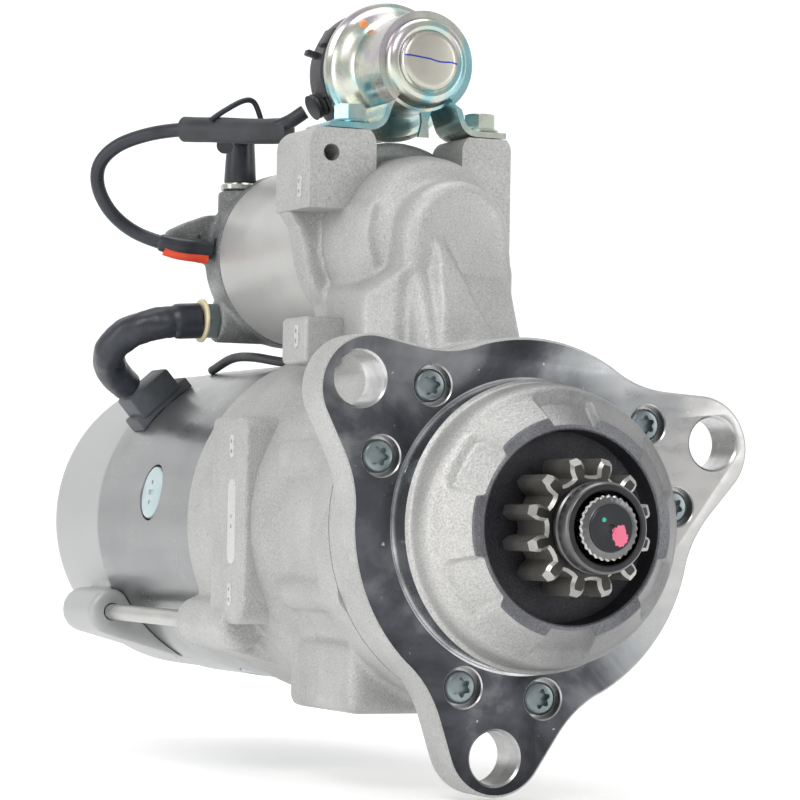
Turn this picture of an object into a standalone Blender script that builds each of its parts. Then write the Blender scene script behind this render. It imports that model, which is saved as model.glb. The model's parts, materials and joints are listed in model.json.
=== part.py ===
"""Heavy-duty starter motor: gear-reduction drive, solenoid, relay and leads, as separate pieces.

All numbers below are millimetres; meshes are turned into metres as they are finished.
The origin is the centre of the pilot, in the flange's mounting face. The shaft lies on Y,
with the pinion at -Y and the motor's rear at +Y, and the solenoid sits above, at +Z.
"""
import math

import bmesh
import bpy
from mathutils import Matrix, Vector

MM = 0.001
GAP = 0.3

# Sides of round shapes
LARGE = 48
ROUND = 24
SMALL = 12

# Flange and nose
PILOT_R = 46.0
EAR_ANGLES = (22.4, 142.4, 262.4)
EAR_CIRCLE_R = 73.0
EAR_HOLE_R = 8.5
EAR_TIP_CENTRE_R = 68.2
EAR_TIP_R = 17.2
EAR_FLANK_ANGLE = 26.0
FLANGE_DISC_R = 59.5
EAR_THICKNESS = 15.0
DISC_THICKNESS = 19.0
NOSE_FRONT_Y = -31.6
NOSE_MOUTH_R = 29.9
SCREW_CIRCLE_R = 54.5
SCREW_OFFSET_ANGLE = 15.0
COUNTERBORE_R = 6.4
COUNTERBORE_DEPTH = 5.0

# Lever housing, field frame and end frame
HOUSING_FRONT_Y = DISC_THICKNESS + GAP
HOUSING_REAR_Y = 138.0
HOUSING_RING_R = 60.5
FRAME_R = 57.3
FRAME_BORE_R = 51.5
FRAME_REAR_Y = 240.0
END_REAR_Y = 297.5
BOLT_PLACES = ((-55.0, -34.5), (55.0, 34.5))
BOLT_R = 3.0
LUG_R = 8.5
LUG_WEB = ((-57.3, -42.7), (-15.5, -54.5), (-10.0, -40.0), (-50.0, -28.0))
GEAR_SEAT_R = 46.3
CLUTCH_CAVITY_R = 48.0
BEARING_WALL_FRONT_Y = 92.0
BEARING_WALL_REAR_Y = 103.5
BEARING_SEAT_R = 20.0

# Solenoid and shift lever
SOLENOID_Z = 96.6
SOLENOID_R = 32.4
SOLENOID_FRONT_Y = 112.3
SOLENOID_REAR_Y = 185.0
PLUNGER_TRAVEL = 11.9
LEVER_PIVOT_Y = 70.0
LEVER_PIVOT_Z = 60.0
LEVER_UPPER_ARM = SOLENOID_Z - LEVER_PIVOT_Z
LEVER_LOWER_ARM = LEVER_PIVOT_Z
LEVER_REST_TILT = math.asin(PLUNGER_TRAVEL / 2.0 / LEVER_UPPER_ARM)
HOOK_Y = LEVER_PIVOT_Y - PLUNGER_TRAVEL / 2.0
GROOVE_Y = LEVER_PIVOT_Y + LEVER_LOWER_ARM * math.sin(LEVER_REST_TILT)

# Planetary reduction
GEAR_MODULE = 1.75
SUN_TEETH = 15
PLANET_TEETH = 12
RING_TEETH = 39
PLANET_COUNT = 3
FIRST_PLANET_ANGLE = 90.0
STUB_ADDENDUM = 0.8
STUB_DEDENDUM = 1.05
GEAR_PRESSURE_ANGLE = 25.0
GEAR_BACKLASH = 0.16
PLANET_CIRCLE_R = GEAR_MODULE * (SUN_TEETH + PLANET_TEETH) / 2.0
GEARS_FRONT_Y = 112.0
GEARS_REAR_Y = 130.0

# Pinion
PINION_TEETH = 12
PINION_MODULE = 3.175
PINION_PHASE = 16.0
PINION_FRONT_Y = -44.0
PINION_REAR_Y = -25.0
SHAFT_R = 10.5

# Motor
POLE_COUNT = 4
POLE_ANGLE = 170.0
POLE_Y = 185.7
ARMATURE_R = 37.8
COMMUTATOR_R = 20.0
BRUSH_ANGLE = 45.0
BRUSH_Y = 255.0

# Relay
RELAY_X = 1.5
RELAY_Z = 157.0
RELAY_FOOT_Z = 132.8
RELAY_BOLTS = ((-23.0, 90.0), (26.0, 90.0))
COLUMN_FRONT_Y = 82.0

# Studs on the solenoid
BATTERY_STUD = (-20.0, 196.0)
MOTOR_STUD_Z = 73.2
STUD_Y = 196.0

# Leads
GROMMET_ANGLE = 131.0
GROMMET_Y = 225.0

MOTOR_LEAD_ROUTE = (
    (-35.2, 196.0, 73.2), (-48.0, 197.5, 72.0), (-59.0, 202.5, 68.5), (-64.0, 210.0, 62.0),
    (-60.5, 219.0, 55.5), (-52.5, 224.4, 49.6),
)
SWITCH_LEAD_ROUTE = (
    (-25.2, 124.0, 142.8), (-31.0, 128.0, 138.6), (-37.5, 138.0, 137.0), (-46.0, 152.0, 138.0),
    (-54.5, 166.0, 139.0), (-64.0, 176.0, 137.6), (-72.5, 185.0, 133.8), (-77.0, 191.0, 127.5),
    (-76.0, 194.5, 119.5), (-70.0, 196.0, 111.0), (-61.0, 196.4, 104.6), (-51.0, 192.5, 100.6),
    (-42.0, 190.0, 99.2), (-33.6, 190.0, 98.4),
)
BATTERY_LEAD_ROUTE = (
    (-41.0, 158.8, 133.4), (-37.0, 168.0, 138.0), (-29.0, 181.0, 142.0), (-22.0, 192.0, 142.0),
    (-20.0, 196.0, 139.0), (-20.0, 196.0, 133.5),
)

ALUMINIUM = ((0.62, 0.62, 0.60), 0.55, 0.8)
STEEL = ((0.42, 0.43, 0.45), 0.35, 1.0)
DARK_STEEL = ((0.10, 0.10, 0.11), 0.4, 0.9)
ZINC = ((0.62, 0.66, 0.66), 0.3, 1.0)
PAINTED_STEEL = ((0.30, 0.31, 0.32), 0.4, 0.5)
COPPER = ((0.60, 0.27, 0.13), 0.35, 1.0)
BLACK_PLASTIC = ((0.03, 0.03, 0.035), 0.5, 0.0)
RUBBER = ((0.025, 0.025, 0.03), 0.6, 0.0)
GREY_CAST = ((0.24, 0.25, 0.26), 0.5, 0.5)
CARBON = ((0.06, 0.06, 0.06), 0.7, 0.0)


def clear_scene():
    for obj in list(bpy.data.objects):
        bpy.data.objects.remove(obj, do_unlink=True)


def material_for(name, finish):
    color, roughness, metallic = finish
    material = bpy.data.materials.new(name)
    material.use_nodes = True
    shader = material.node_tree.nodes["Principled BSDF"]
    shader.inputs["Base Color"].default_value = (*color, 1.0)
    shader.inputs["Roughness"].default_value = roughness
    shader.inputs["Metallic"].default_value = metallic
    return material


def polar(radius, degrees):
    angle = math.radians(degrees)
    return radius * math.cos(angle), radius * math.sin(angle)


# ---------------------------------------------------------------- solids


def lathe(profile, segments=ROUND, centre=(0.0, 0.0), axis_turn=None):
    """Turn a closed (radius, y) profile about the line parallel to Y through centre (x, z)."""
    bm = bmesh.new()
    verts = [bm.verts.new((r, y, 0.0)) for r, y in profile]
    edges = []
    for index, vert in enumerate(verts):
        following = verts[(index + 1) % len(verts)]
        if max(vert.co.x, following.co.x) > 1e-6:
            edges.append(bm.edges.new((vert, following)))
    bmesh.ops.spin(
        bm, geom=verts + edges, cent=(0, 0, 0), axis=(0, 1, 0), dvec=(0, 0, 0),
        angle=2.0 * math.pi, steps=segments, use_merge=True, use_duplicate=False,
    )
    bmesh.ops.remove_doubles(bm, verts=bm.verts, dist=1e-5)
    if axis_turn is not None:
        bmesh.ops.transform(bm, matrix=axis_turn, verts=bm.verts)
    bmesh.ops.translate(bm, vec=(centre[0], 0.0, centre[1]), verts=bm.verts)
    bmesh.ops.recalc_face_normals(bm, faces=bm.faces)
    return bm


def cylinder(radius, y0, y1, centre=(0.0, 0.0), segments=ROUND):
    return lathe([(0, y0), (radius, y0), (radius, y1), (0, y1)], segments, centre)


def tube_ring(inner, outer, y0, y1, centre=(0.0, 0.0), segments=ROUND):
    return lathe([(inner, y0), (outer, y0), (outer, y1), (inner, y1)], segments, centre)


def prism(outline, low, high, matrix=None):
    """Extrude an (x, z) outline along Y, from low to high, then place it with matrix."""
    bm = bmesh.new()
    face = bm.faces.new([bm.verts.new((x, low, z)) for x, z in outline])
    extruded = bmesh.ops.extrude_face_region(bm, geom=[face])["geom"]
    moved = [item for item in extruded if isinstance(item, bmesh.types.BMVert)]
    bmesh.ops.translate(bm, vec=(0.0, high - low, 0.0), verts=moved)
    if matrix is not None:
        bmesh.ops.transform(bm, matrix=matrix, verts=bm.verts)
    bmesh.ops.recalc_face_normals(bm, faces=bm.faces)
    return bm


def box(low, high):
    outline = [(low[0], low[2]), (high[0], low[2]), (high[0], high[2]), (low[0], high[2])]
    return prism(outline, low[1], high[1])


def bar_along_x(radius, x0, x1, y, z, segments=SMALL):
    """A round bar along X, from x0 to x1, with its axis at (y, z)."""
    turn = Matrix.Rotation(-math.pi / 2.0, 4, "Z")
    bm = lathe([(0, x0), (radius, x0), (radius, x1), (0, x1)], segments, axis_turn=turn)
    bmesh.ops.translate(bm, vec=(0.0, y, z), verts=bm.verts)
    return bm


def bar_along_z(profile, x, y, segments=SMALL):
    """Turn a closed (radius, z) profile about a vertical line through (x, y)."""
    bm = lathe(profile, segments, axis_turn=Matrix.Rotation(math.pi / 2.0, 4, "X"))
    bmesh.ops.translate(bm, vec=(x, y, 0.0), verts=bm.verts)
    return bm


def radial_turn(degrees):
    """The matrix that lays the Y axis along the radial direction at an angle in the XZ plane."""
    upright = Matrix.Rotation(math.pi / 2.0, 4, "X")
    return Matrix.Rotation(math.radians(90.0 - degrees), 4, "Y") @ upright


def scratch_object(bm):
    mesh = bpy.data.meshes.new("scratch")
    bm.to_mesh(mesh)
    bm.free()
    obj = bpy.data.objects.new("scratch", mesh)
    bpy.context.scene.collection.objects.link(obj)
    return obj


def combine(base, tools, operation):
    """Join or cut a bmesh with each tool in turn, with the exact Boolean solver."""
    for tool in tools:
        target = scratch_object(base)
        cutter = scratch_object(tool)
        modifier = target.modifiers.new("combine", "BOOLEAN")
        modifier.operation = operation
        modifier.solver = "EXACT"
        modifier.object = cutter
        base = bmesh.new()
        base.from_object(target, bpy.context.evaluated_depsgraph_get())
        bpy.data.objects.remove(target, do_unlink=True)
        bpy.data.objects.remove(cutter, do_unlink=True)
        bmesh.ops.dissolve_limit(
            base, angle_limit=math.radians(0.05), verts=base.verts, edges=base.edges,
        )
    return base


def join(base, *tools):
    return combine(base, tools, "UNION")


def cut(base, *tools):
    return combine(base, tools, "DIFFERENCE")


def add_piece(name, bm, finish, origin=(0.0, 0.0, 0.0), smooth_angle=35.0):
    """Finish a bmesh as the object of one node, in metres, with its origin where asked."""
    bmesh.ops.remove_doubles(bm, verts=bm.verts, dist=1e-4)
    bmesh.ops.translate(bm, vec=-Vector(origin), verts=bm.verts)
    bmesh.ops.scale(bm, vec=(MM, MM, MM), verts=bm.verts)
    mesh = bpy.data.meshes.new(name)
    bm.to_mesh(mesh)
    bm.free()
    mesh.shade_smooth()
    mesh.set_sharp_from_angle(angle=math.radians(smooth_angle))
    mesh.materials.append(material_for(name, finish))
    obj = bpy.data.objects.new(name, mesh)
    obj.location = Vector(origin) * MM
    bpy.context.scene.collection.objects.link(obj)
    return obj


def smooth_route(points, spacing):
    """Points about every spacing along a Catmull-Rom curve through the route's own points."""
    knots = [Vector(point) for point in points]
    knots = [2 * knots[0] - knots[1]] + knots + [2 * knots[-1] - knots[-2]]
    route = []
    for index in range(1, len(knots) - 2):
        before, start, end, after = knots[index - 1:index + 3]
        steps = max(1, round((end - start).length / spacing))
        for step in range(steps):
            t = step / steps
            route.append(0.5 * (
                2 * start + (end - before) * t
                + (2 * before - 5 * start + 4 * end - after) * t ** 2
                + (3 * start - before - 3 * end + after) * t ** 3
            ))
    route.append(knots[-2])
    return route


def add_lead(name, points, radius, spacing, finish, resolution=2):
    """A lead as a bevelled curve with closed ends."""
    curve = bpy.data.curves.new(name, "CURVE")
    curve.dimensions = "3D"
    curve.bevel_depth = radius * MM
    curve.bevel_resolution = resolution
    curve.use_fill_caps = True
    route = smooth_route(points, spacing)
    spline = curve.splines.new("POLY")
    spline.points.add(len(route) - 1)
    for target, place in zip(spline.points, route):
        target.co = (*(place * MM), 1.0)
    curve.materials.append(material_for(name, finish))
    obj = bpy.data.objects.new(name, curve)
    bpy.context.scene.collection.objects.link(obj)
    return obj


# ---------------------------------------------------------------- gears


def gear_outline(teeth, module, phase, root_r, tip_r, thickness, pressure_angle, flank_steps=2):
    """A gear's (x, z) outline with involute flanks and a tooth centred on phase, in degrees."""
    pitch_r = teeth * module / 2.0
    alpha = math.radians(pressure_angle)
    base_r = pitch_r * math.cos(alpha)
    involute_at_pitch = math.tan(alpha) - alpha

    def half_angle(radius):
        local = math.acos(min(1.0, base_r / radius))
        return thickness / (2.0 * pitch_r) + involute_at_pitch - (math.tan(local) - local)

    radii = [root_r + (tip_r - root_r) * step / flank_steps for step in range(flank_steps + 1)]
    points = []
    for tooth in range(teeth):
        centre = math.radians(phase) + 2.0 * math.pi * tooth / teeth
        rising = [(radius, centre - half_angle(radius)) for radius in radii]
        falling = [(radius, centre + half_angle(radius)) for radius in reversed(radii)]
        for radius, angle in rising + falling:
            points.append((radius * math.cos(angle), radius * math.sin(angle)))
    return points


def stub_gear_outline(teeth, phase):
    pitch_r = teeth * GEAR_MODULE / 2.0
    return gear_outline(
        teeth, GEAR_MODULE, phase, pitch_r - STUB_DEDENDUM * GEAR_MODULE,
        pitch_r + STUB_ADDENDUM * GEAR_MODULE, math.pi * GEAR_MODULE / 2.0 - GEAR_BACKLASH,
        GEAR_PRESSURE_ANGLE,
    )


def ring_space_outline(phase):
    """The hollow of the internal gear, with a tooth of the ring itself centred on phase."""
    pitch_r = RING_TEETH * GEAR_MODULE / 2.0
    return gear_outline(
        RING_TEETH, GEAR_MODULE, phase + 180.0 / RING_TEETH,
        pitch_r - STUB_ADDENDUM * GEAR_MODULE, pitch_r + STUB_DEDENDUM * GEAR_MODULE,
        math.pi * GEAR_MODULE / 2.0 + GEAR_BACKLASH, GEAR_PRESSURE_ANGLE, flank_steps=1,
    )


def planet_places():
    for index in range(PLANET_COUNT):
        angle = FIRST_PLANET_ANGLE + 360.0 / PLANET_COUNT * index
        yield index + 1, angle, polar(PLANET_CIRCLE_R, angle)


# ---------------------------------------------------------------- nose


def ear_outline():
    """The flange's outline: a disc with three ears, whose flanks run into it in a hollow curve."""
    flank = math.radians(EAR_FLANK_ANGLE)
    arc_end = math.pi / 2.0 - flank
    local = []
    tangent = (EAR_TIP_CENTRE_R + EAR_TIP_R * math.cos(arc_end), EAR_TIP_R * math.sin(arc_end))
    along = (-math.cos(flank), math.sin(flank))
    reach = 13.0
    near = (tangent[0] + along[0] * reach, tangent[1] + along[1] * reach)
    b = tangent[0] * along[0] + tangent[1] * along[1]
    c = tangent[0] ** 2 + tangent[1] ** 2 - FLANGE_DISC_R ** 2
    meet = -b - math.sqrt(b * b - c)
    corner = (tangent[0] + along[0] * meet, tangent[1] + along[1] * meet)
    far_angle = math.atan2(corner[1], corner[0]) + math.radians(10.0)
    far = (FLANGE_DISC_R * math.cos(far_angle), FLANGE_DISC_R * math.sin(far_angle))
    for step in range(5):
        t = step / 4.0
        local.append(tuple(
            (1 - t) ** 2 * far[k] + 2 * t * (1 - t) * corner[k] + t * t * near[k] for k in (0, 1)
        ))
    for step in range(6):
        angle = arc_end * (1.0 - step / 5.0)
        local.append((EAR_TIP_CENTRE_R + EAR_TIP_R * math.cos(angle), EAR_TIP_R * math.sin(angle)))
    half = local + [(u, -w) for u, w in reversed(local[:-1])]
    disc_start = far_angle
    disc_end = 2.0 * math.pi / len(EAR_ANGLES) - far_angle
    points = []
    for ear_angle in EAR_ANGLES:
        turn = math.radians(ear_angle)
        for u, w in reversed(half):
            points.append((u * math.cos(turn) - w * math.sin(turn),
                           u * math.sin(turn) + w * math.cos(turn)))
        for step in range(1, 6):
            angle = turn + disc_start + (disc_end - disc_start) * step / 6.0
            points.append((FLANGE_DISC_R * math.cos(angle), FLANGE_DISC_R * math.sin(angle)))
    return points


def screw_angles():
    for ear_angle in EAR_ANGLES:
        yield ear_angle - SCREW_OFFSET_ANGLE
        yield ear_angle + SCREW_OFFSET_ANGLE


def nose_housing():
    flange = prism(ear_outline(), 0.0, EAR_THICKNESS)
    bell = lathe([
        (0, NOSE_FRONT_Y), (34.6, NOSE_FRONT_Y), (38.6, -28.0), (42.6, -20.0), (44.8, -9.6),
        (PILOT_R, -8.8), (PILOT_R, 1.0), (FLANGE_DISC_R - 1.0, 1.0),
        (FLANGE_DISC_R - 1.0, DISC_THICKNESS), (0, DISC_THICKNESS),
    ], LARGE)
    hollow = lathe([
        (0, -40), (NOSE_MOUTH_R, -40), (NOSE_MOUTH_R, -21.5), (12.5, -21.5), (12.5, -17.5),
        (20.0, -17.5), (20.0, -3.0), (33.0, -3.0), (39.0, 3.0), (39.0, 30), (0, 30),
    ])
    solid = cut(join(flange, bell), hollow)
    for angle in EAR_ANGLES:
        solid = cut(solid, cylinder(EAR_HOLE_R, -5, 25, polar(EAR_CIRCLE_R, angle), 20))
    for angle in screw_angles():
        place = polar(SCREW_CIRCLE_R, angle)
        stepped = [(0, -2), (COUNTERBORE_R, -2), (COUNTERBORE_R, COUNTERBORE_DEPTH),
                   (3.5, COUNTERBORE_DEPTH), (3.5, 25), (0, 25)]
        solid = cut(solid, lathe(stepped, SMALL, place))
    add_piece("nose_housing", solid, ALUMINIUM)


def nose_screws():
    profile = [(0, 1.4), (4.7, 1.4), (5.2, 2.0), (5.2, COUNTERBORE_DEPTH - GAP),
               (2.9, COUNTERBORE_DEPTH - GAP), (2.9, 33.0), (0, 33.0)]
    socket = [polar(2.9, 60.0 * corner) for corner in range(6)]
    for number, angle in enumerate(screw_angles(), 1):
        place = polar(SCREW_CIRCLE_R, angle)
        recess = prism(socket, 0.0, 3.2, Matrix.Translation((place[0], 0.0, place[1])))
        add_piece(f"nose_screw_{number}", cut(lathe(profile, SMALL, place), recess), ZINC)


def drive_bearing():
    add_piece("drive_bearing", tube_ring(10.9, 19.7, -17.2, -3.6), STEEL)


# ---------------------------------------------------------------- drive


def pinion():
    pitch_r = PINION_TEETH * PINION_MODULE / 2.0
    tip_r = pitch_r + 2.35
    outline = gear_outline(
        PINION_TEETH, PINION_MODULE, PINION_PHASE, pitch_r - 3.3, tip_r,
        math.pi * PINION_MODULE / 2.0 - 0.3, 20.0,
    )
    teeth = prism(outline, PINION_FRONT_Y, PINION_REAR_Y)
    lead_in = lathe([
        (tip_r - 2.0, PINION_FRONT_Y - 1.0), (tip_r + 3, PINION_FRONT_Y - 1.0),
        (tip_r + 3, PINION_FRONT_Y + 3.0), (tip_r + 0.2, PINION_FRONT_Y + 1.3),
    ], LARGE)
    hub = cylinder(14.5, PINION_REAR_Y - 2, -22.3)
    bore = cylinder(SHAFT_R + GAP, -60, 0)
    add_piece("pinion", cut(join(cut(teeth, lead_in), hub), bore), DARK_STEEL)


def pinion_stop():
    add_piece("pinion_stop", lathe([
        (SHAFT_R + GAP, -44.4), (13.9, -44.4), (13.9, -46.6), (13.3, -47.2), (13.9, -48.0),
        (13.9, -52.6), (13.0, -53.5), (11.2, -53.5), (11.2, -46.6), (SHAFT_R + GAP, -46.6),
    ]), STEEL)


def output_shaft():
    add_piece("output_shaft", lathe([
        (0, -55.0), (1.3, -56.0), (7.3, -56.0), (7.3, -55.0), (9.3, -54.2), (9.3, -46.0),
        (SHAFT_R, -45.6), (SHAFT_R, 44.0), (16.8, 46.0), (16.8, 57.4), (0, 57.4),
    ]), STEEL)


def clutch_housing():
    add_piece("clutch_housing", lathe([
        (11.2, 43.0), (27.0, 43.0), (28.0, 44.5), (28.0, 70.0),
        (24.0, 70.0), (24.0, GROOVE_Y - 4.3), (17.8, GROOVE_Y - 4.3),
        (17.8, GROOVE_Y + 4.3), (24.0, GROOVE_Y + 4.3), (24.0, 87.0),
        (9.4, 87.0), (9.4, 61.0), (17.4, 61.0), (17.4, 45.4), (11.2, 43.6),
    ]), STEEL)


def planet_carrier():
    solid = lathe([
        (0, 58.0), (8.2, 58.0), (9.0, 59.0), (9.0, 90.5), (11.7, 91.5), (11.7, 104.2),
        (33.0, 104.2), (33.0, 109.8), (0, 109.8),
    ])
    for _, _, place in planet_places():
        solid = join(solid, cylinder(3.9, 108.0, GEARS_REAR_Y + 0.8, place, SMALL))
    add_piece("planet_carrier", solid, STEEL)


def carrier_bearing():
    add_piece("carrier_bearing", tube_ring(12.0, BEARING_SEAT_R - GAP, 92.4, 103.2), STEEL)


def planet_gears():
    for number, angle, (x, z) in planet_places():
        phase = angle + 180.0 / PLANET_TEETH
        spot = Matrix.Translation((x, 0.0, z))
        gear = prism(stub_gear_outline(PLANET_TEETH, phase), GEARS_FRONT_Y, GEARS_REAR_Y, spot)
        gear = cut(gear, cylinder(4.2, 100, 140, (x, z), SMALL))
        add_piece(f"planet_gear_{number}", gear, STEEL, origin=(x, GEARS_FRONT_Y, z))


def ring_gear():
    solid = cylinder(GEAR_SEAT_R - GAP, 103.8, 135.5, segments=LARGE)
    solid = cut(
        solid,
        cylinder(38.0, 100, GEARS_FRONT_Y - 1.0),
        prism(ring_space_outline(FIRST_PLANET_ANGLE), GEARS_FRONT_Y - 2.0, GEARS_REAR_Y + 1.5),
        cylinder(16.0, 120, 140),
    )
    add_piece("ring_gear", solid, STEEL)


# ---------------------------------------------------------------- lever housing


def tombstone(half_width, bottom, top, steps=8):
    """An upright outline with a half-round head."""
    centre_z = top - half_width
    points = [(-half_width, bottom), (half_width, bottom)]
    for step in range(steps + 1):
        x, z = polar(half_width, 180.0 * step / steps)
        points.append((x, centre_z + z))
    return points


def lug_webs(low, high):
    """The two webs that run from the lugs into the round body, opposite each other."""
    turned = [(-x, -z) for x, z in LUG_WEB]
    return [prism(outline, low, high) for outline in (LUG_WEB, turned)]


def lever_housing_body():
    shell = lathe([
        (0, HOUSING_FRONT_Y), (59.2, HOUSING_FRONT_Y), (59.2, 36.5), (56.0, 40.0), (56.5, 84),
        (HOUSING_RING_R, 92),
        (HOUSING_RING_R, HOUSING_REAR_Y), (0, HOUSING_REAR_Y),
    ], LARGE)
    barrel_axis = (0.0, SOLENOID_Z)
    barrel = lathe([
        (0, 62), (18.0, 62), (25.0, 68), (28.2, 79), (28.2, 99.5), (34.8, 100.5),
        (34.8, 112.0), (0, 112.0),
    ], 32, barrel_axis)
    dome = prism(tombstone(19.5, 30.0, 114.0), 49.0, 90.0)
    skirt = prism([(-22, 30), (22, 30), (19.5, 75), (-19.5, 75)], 36.0, 60.0)
    web_plan = [(-30.0, -60.0), (24.0, -60.0), (31.5, -84.0), (31.5, -112.0), (-34.0, -112.0),
                (-34.0, -74.0)]
    web = prism(web_plan, 30.0, 80.0, Matrix.Rotation(math.pi / 2.0, 4, "X"))
    columns = [
        box((-41.0, COLUMN_FRONT_Y, 105.3), (-16.5, 111.0, 132.4)),
        box((15.6, COLUMN_FRONT_Y, 60.0), (34.5, 106.0, 132.4)),
    ]
    side_pad = box((-41.0, 84.0, 40.0), (-28.0, 110.0, 68.5))
    rail = box((-62.0, 88.0, -34.0), (-48.0, 112.0, 39.0))
    foot = box((-44.0, 34.0, -60.5), (12.0, 86.0, -36.0))
    lugs = [cylinder(LUG_R, 100.0, 141.0, place, 16) for place in BOLT_PLACES]
    lugs += lug_webs(112.0, 137.0)
    return join(shell, barrel, dome, skirt, web, *columns, side_pad, rail, foot, *lugs)


def lever_housing():
    solid = lever_housing_body()
    solid = cut(
        solid,
        lathe([
            (0, 0), (CLUTCH_CAVITY_R, 0), (CLUTCH_CAVITY_R, BEARING_WALL_FRONT_Y),
            (BEARING_SEAT_R, BEARING_WALL_FRONT_Y), (BEARING_SEAT_R, BEARING_WALL_REAR_Y),
            (GEAR_SEAT_R, BEARING_WALL_REAR_Y), (GEAR_SEAT_R, 150), (0, 150),
        ], LARGE),
        prism(tombstone(15.5, 20.0, 110.0, 6), 52.5, 84.0),
        cylinder(14.6, 70.0, 120.0, (0.0, SOLENOID_Z)),
        bar_along_x(3.9, -20.4, 20.4, LEVER_PIVOT_Y, LEVER_PIVOT_Z),
        cylinder(2.6, 70.0, COLUMN_FRONT_Y + 12, (-33.0, 124.0), SMALL),
        lathe([(FRAME_R + GAP, HOUSING_REAR_Y), (FRAME_R + GAP, 150), (40, 150),
               (40, HOUSING_REAR_Y)], LARGE),
    )
    for angle in screw_angles():
        solid = cut(solid, cylinder(3.2, 10.0, 36.0, polar(SCREW_CIRCLE_R, angle), 8))
    for x, y in RELAY_BOLTS:
        solid = cut(solid, bar_along_z([(0, 116), (3.3, 116), (3.3, 140), (0, 140)], x, y))
    for place in BOLT_PLACES:
        solid = cut(solid, cylinder(BOLT_R + GAP, 118.0, 150.0, place, SMALL))
    add_piece("lever_housing", solid, ALUMINIUM)


def shift_lever():
    """Drawn upright about its pivot, then tilted to its rest position."""
    half = [
        (3.3, LEVER_UPPER_ARM), (3.3, 9.0), (7.5, 5.0), (8.0, -8.0), (14.0, -16.0),
        (29.3, -25.5), (29.3, -LEVER_LOWER_ARM - 3.0), (25.0, -LEVER_LOWER_ARM - 3.0),
        (25.0, -33.0), (18.0, -29.5),
    ]
    outline = half + [(-x, z) for x, z in reversed(half)]
    solid = prism(outline, -3.3, 3.3)
    solid = join(
        solid,
        bar_along_x(4.3, -3.3, 3.3, 0.0, LEVER_UPPER_ARM),
        bar_along_x(7.0, -14.0, 14.0, 0.0, 0.0),
        bar_along_x(3.7, 18.6, 29.0, 0.0, -LEVER_LOWER_ARM),
        bar_along_x(3.7, -29.0, -18.6, 0.0, -LEVER_LOWER_ARM),
    )
    solid = cut(solid, bar_along_x(3.9, -20.0, 20.0, 0.0, 0.0))
    pivot = (0.0, LEVER_PIVOT_Y, LEVER_PIVOT_Z)
    tilt = Matrix.Translation(pivot) @ Matrix.Rotation(LEVER_REST_TILT, 4, "X")
    bmesh.ops.transform(solid, matrix=tilt, verts=solid.verts)
    add_piece("shift_lever", solid, STEEL, origin=pivot)
    pin = bar_along_x(3.6, -20.0, 20.0, LEVER_PIVOT_Y, LEVER_PIVOT_Z)
    add_piece("lever_pivot_pin", pin, STEEL, origin=pivot)


# ---------------------------------------------------------------- motor


def pole_angles():
    for index in range(POLE_COUNT):
        yield index + 1, POLE_ANGLE - 360.0 / POLE_COUNT * index


def field_frame():
    solid = tube_ring(FRAME_BORE_R, FRAME_R, HOUSING_REAR_Y + GAP, FRAME_REAR_Y, segments=LARGE)
    for _, angle in pole_angles():
        hole = lathe([(0, 40), (5.2, 40), (5.2, 54.4), (9.9, 54.4), (9.9, 70), (0, 70)], 16,
                     axis_turn=radial_turn(angle))
        bmesh.ops.translate(hole, vec=(0.0, POLE_Y, 0.0), verts=hole.verts)
        solid = cut(solid, hole)
    entry = cylinder(7.0, 40, 80, segments=SMALL)
    bmesh.ops.transform(entry, matrix=radial_turn(GROMMET_ANGLE), verts=entry.verts)
    bmesh.ops.translate(entry, vec=(0.0, GROMMET_Y, 0.0), verts=entry.verts)
    add_piece("field_frame", cut(solid, entry), PAINTED_STEEL)


def pole_screws():
    profile = [(0, 43.0), (4.9, 43.0), (4.9, 54.7), (9.5, 54.7), (9.5, 56.6), (8.9, 57.1),
               (0, 57.1)]
    for number, angle in pole_angles():
        solid = lathe(profile, 16, axis_turn=radial_turn(angle))
        bmesh.ops.translate(solid, vec=(0.0, POLE_Y, 0.0), verts=solid.verts)
        slot = box((-6.5, -1.1, 56.0), (6.5, 1.1, 60.0))
        turn = Matrix.Translation((0.0, POLE_Y, 0.0)) @ Matrix.Rotation(
            math.radians(90.0 - angle), 4, "Y")
        bmesh.ops.transform(slot, matrix=turn, verts=slot.verts)
        add_piece(f"pole_screw_{number}", cut(solid, slot), ZINC)


def arc_outline(inner, outer, start, end, steps):
    points = [polar(outer, start + (end - start) * step / steps) for step in range(steps + 1)]
    points += [polar(inner, end + (start - end) * step / steps) for step in range(steps + 1)]
    return points


def pole_shoes():
    for number, angle in pole_angles():
        core = prism(arc_outline(40.0, 51.2, angle - 20.0, angle + 20.0, 4), 155.0, 222.0)
        face = prism(arc_outline(38.7, 42.2, angle - 33.0, angle + 33.0, 6), 153.0, 224.0)
        hole = lathe([(0, 42.6), (5.2, 42.6), (5.2, 60), (0, 60)], SMALL,
                     axis_turn=radial_turn(angle))
        bmesh.ops.translate(hole, vec=(0.0, POLE_Y, 0.0), verts=hole.verts)
        add_piece(f"pole_shoe_{number}", cut(join(core, face), hole), STEEL)


def field_coils():
    """Four coils in series: one ring with a window for each pole and a slot between coils."""
    solid = tube_ring(42.6, 51.1, 146.0, 231.0, segments=LARGE)
    for _, angle in pole_angles():
        window = prism(arc_outline(40.0, 54.0, angle - 21.5, angle + 21.5, 4), 153.6, 223.6)
        slot = prism(arc_outline(40.0, 54.0, angle + 43.5, angle + 46.5, 1), 154.5, 240.0)
        solid = cut(solid, window, slot)
    lead_gap = prism(
        arc_outline(40.0, 54.0, GROMMET_ANGLE - 8.0, GROMMET_ANGLE + 8.5, 2), 217.0, 240.0)
    add_piece("field_coils", cut(solid, lead_gap), COPPER)


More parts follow.
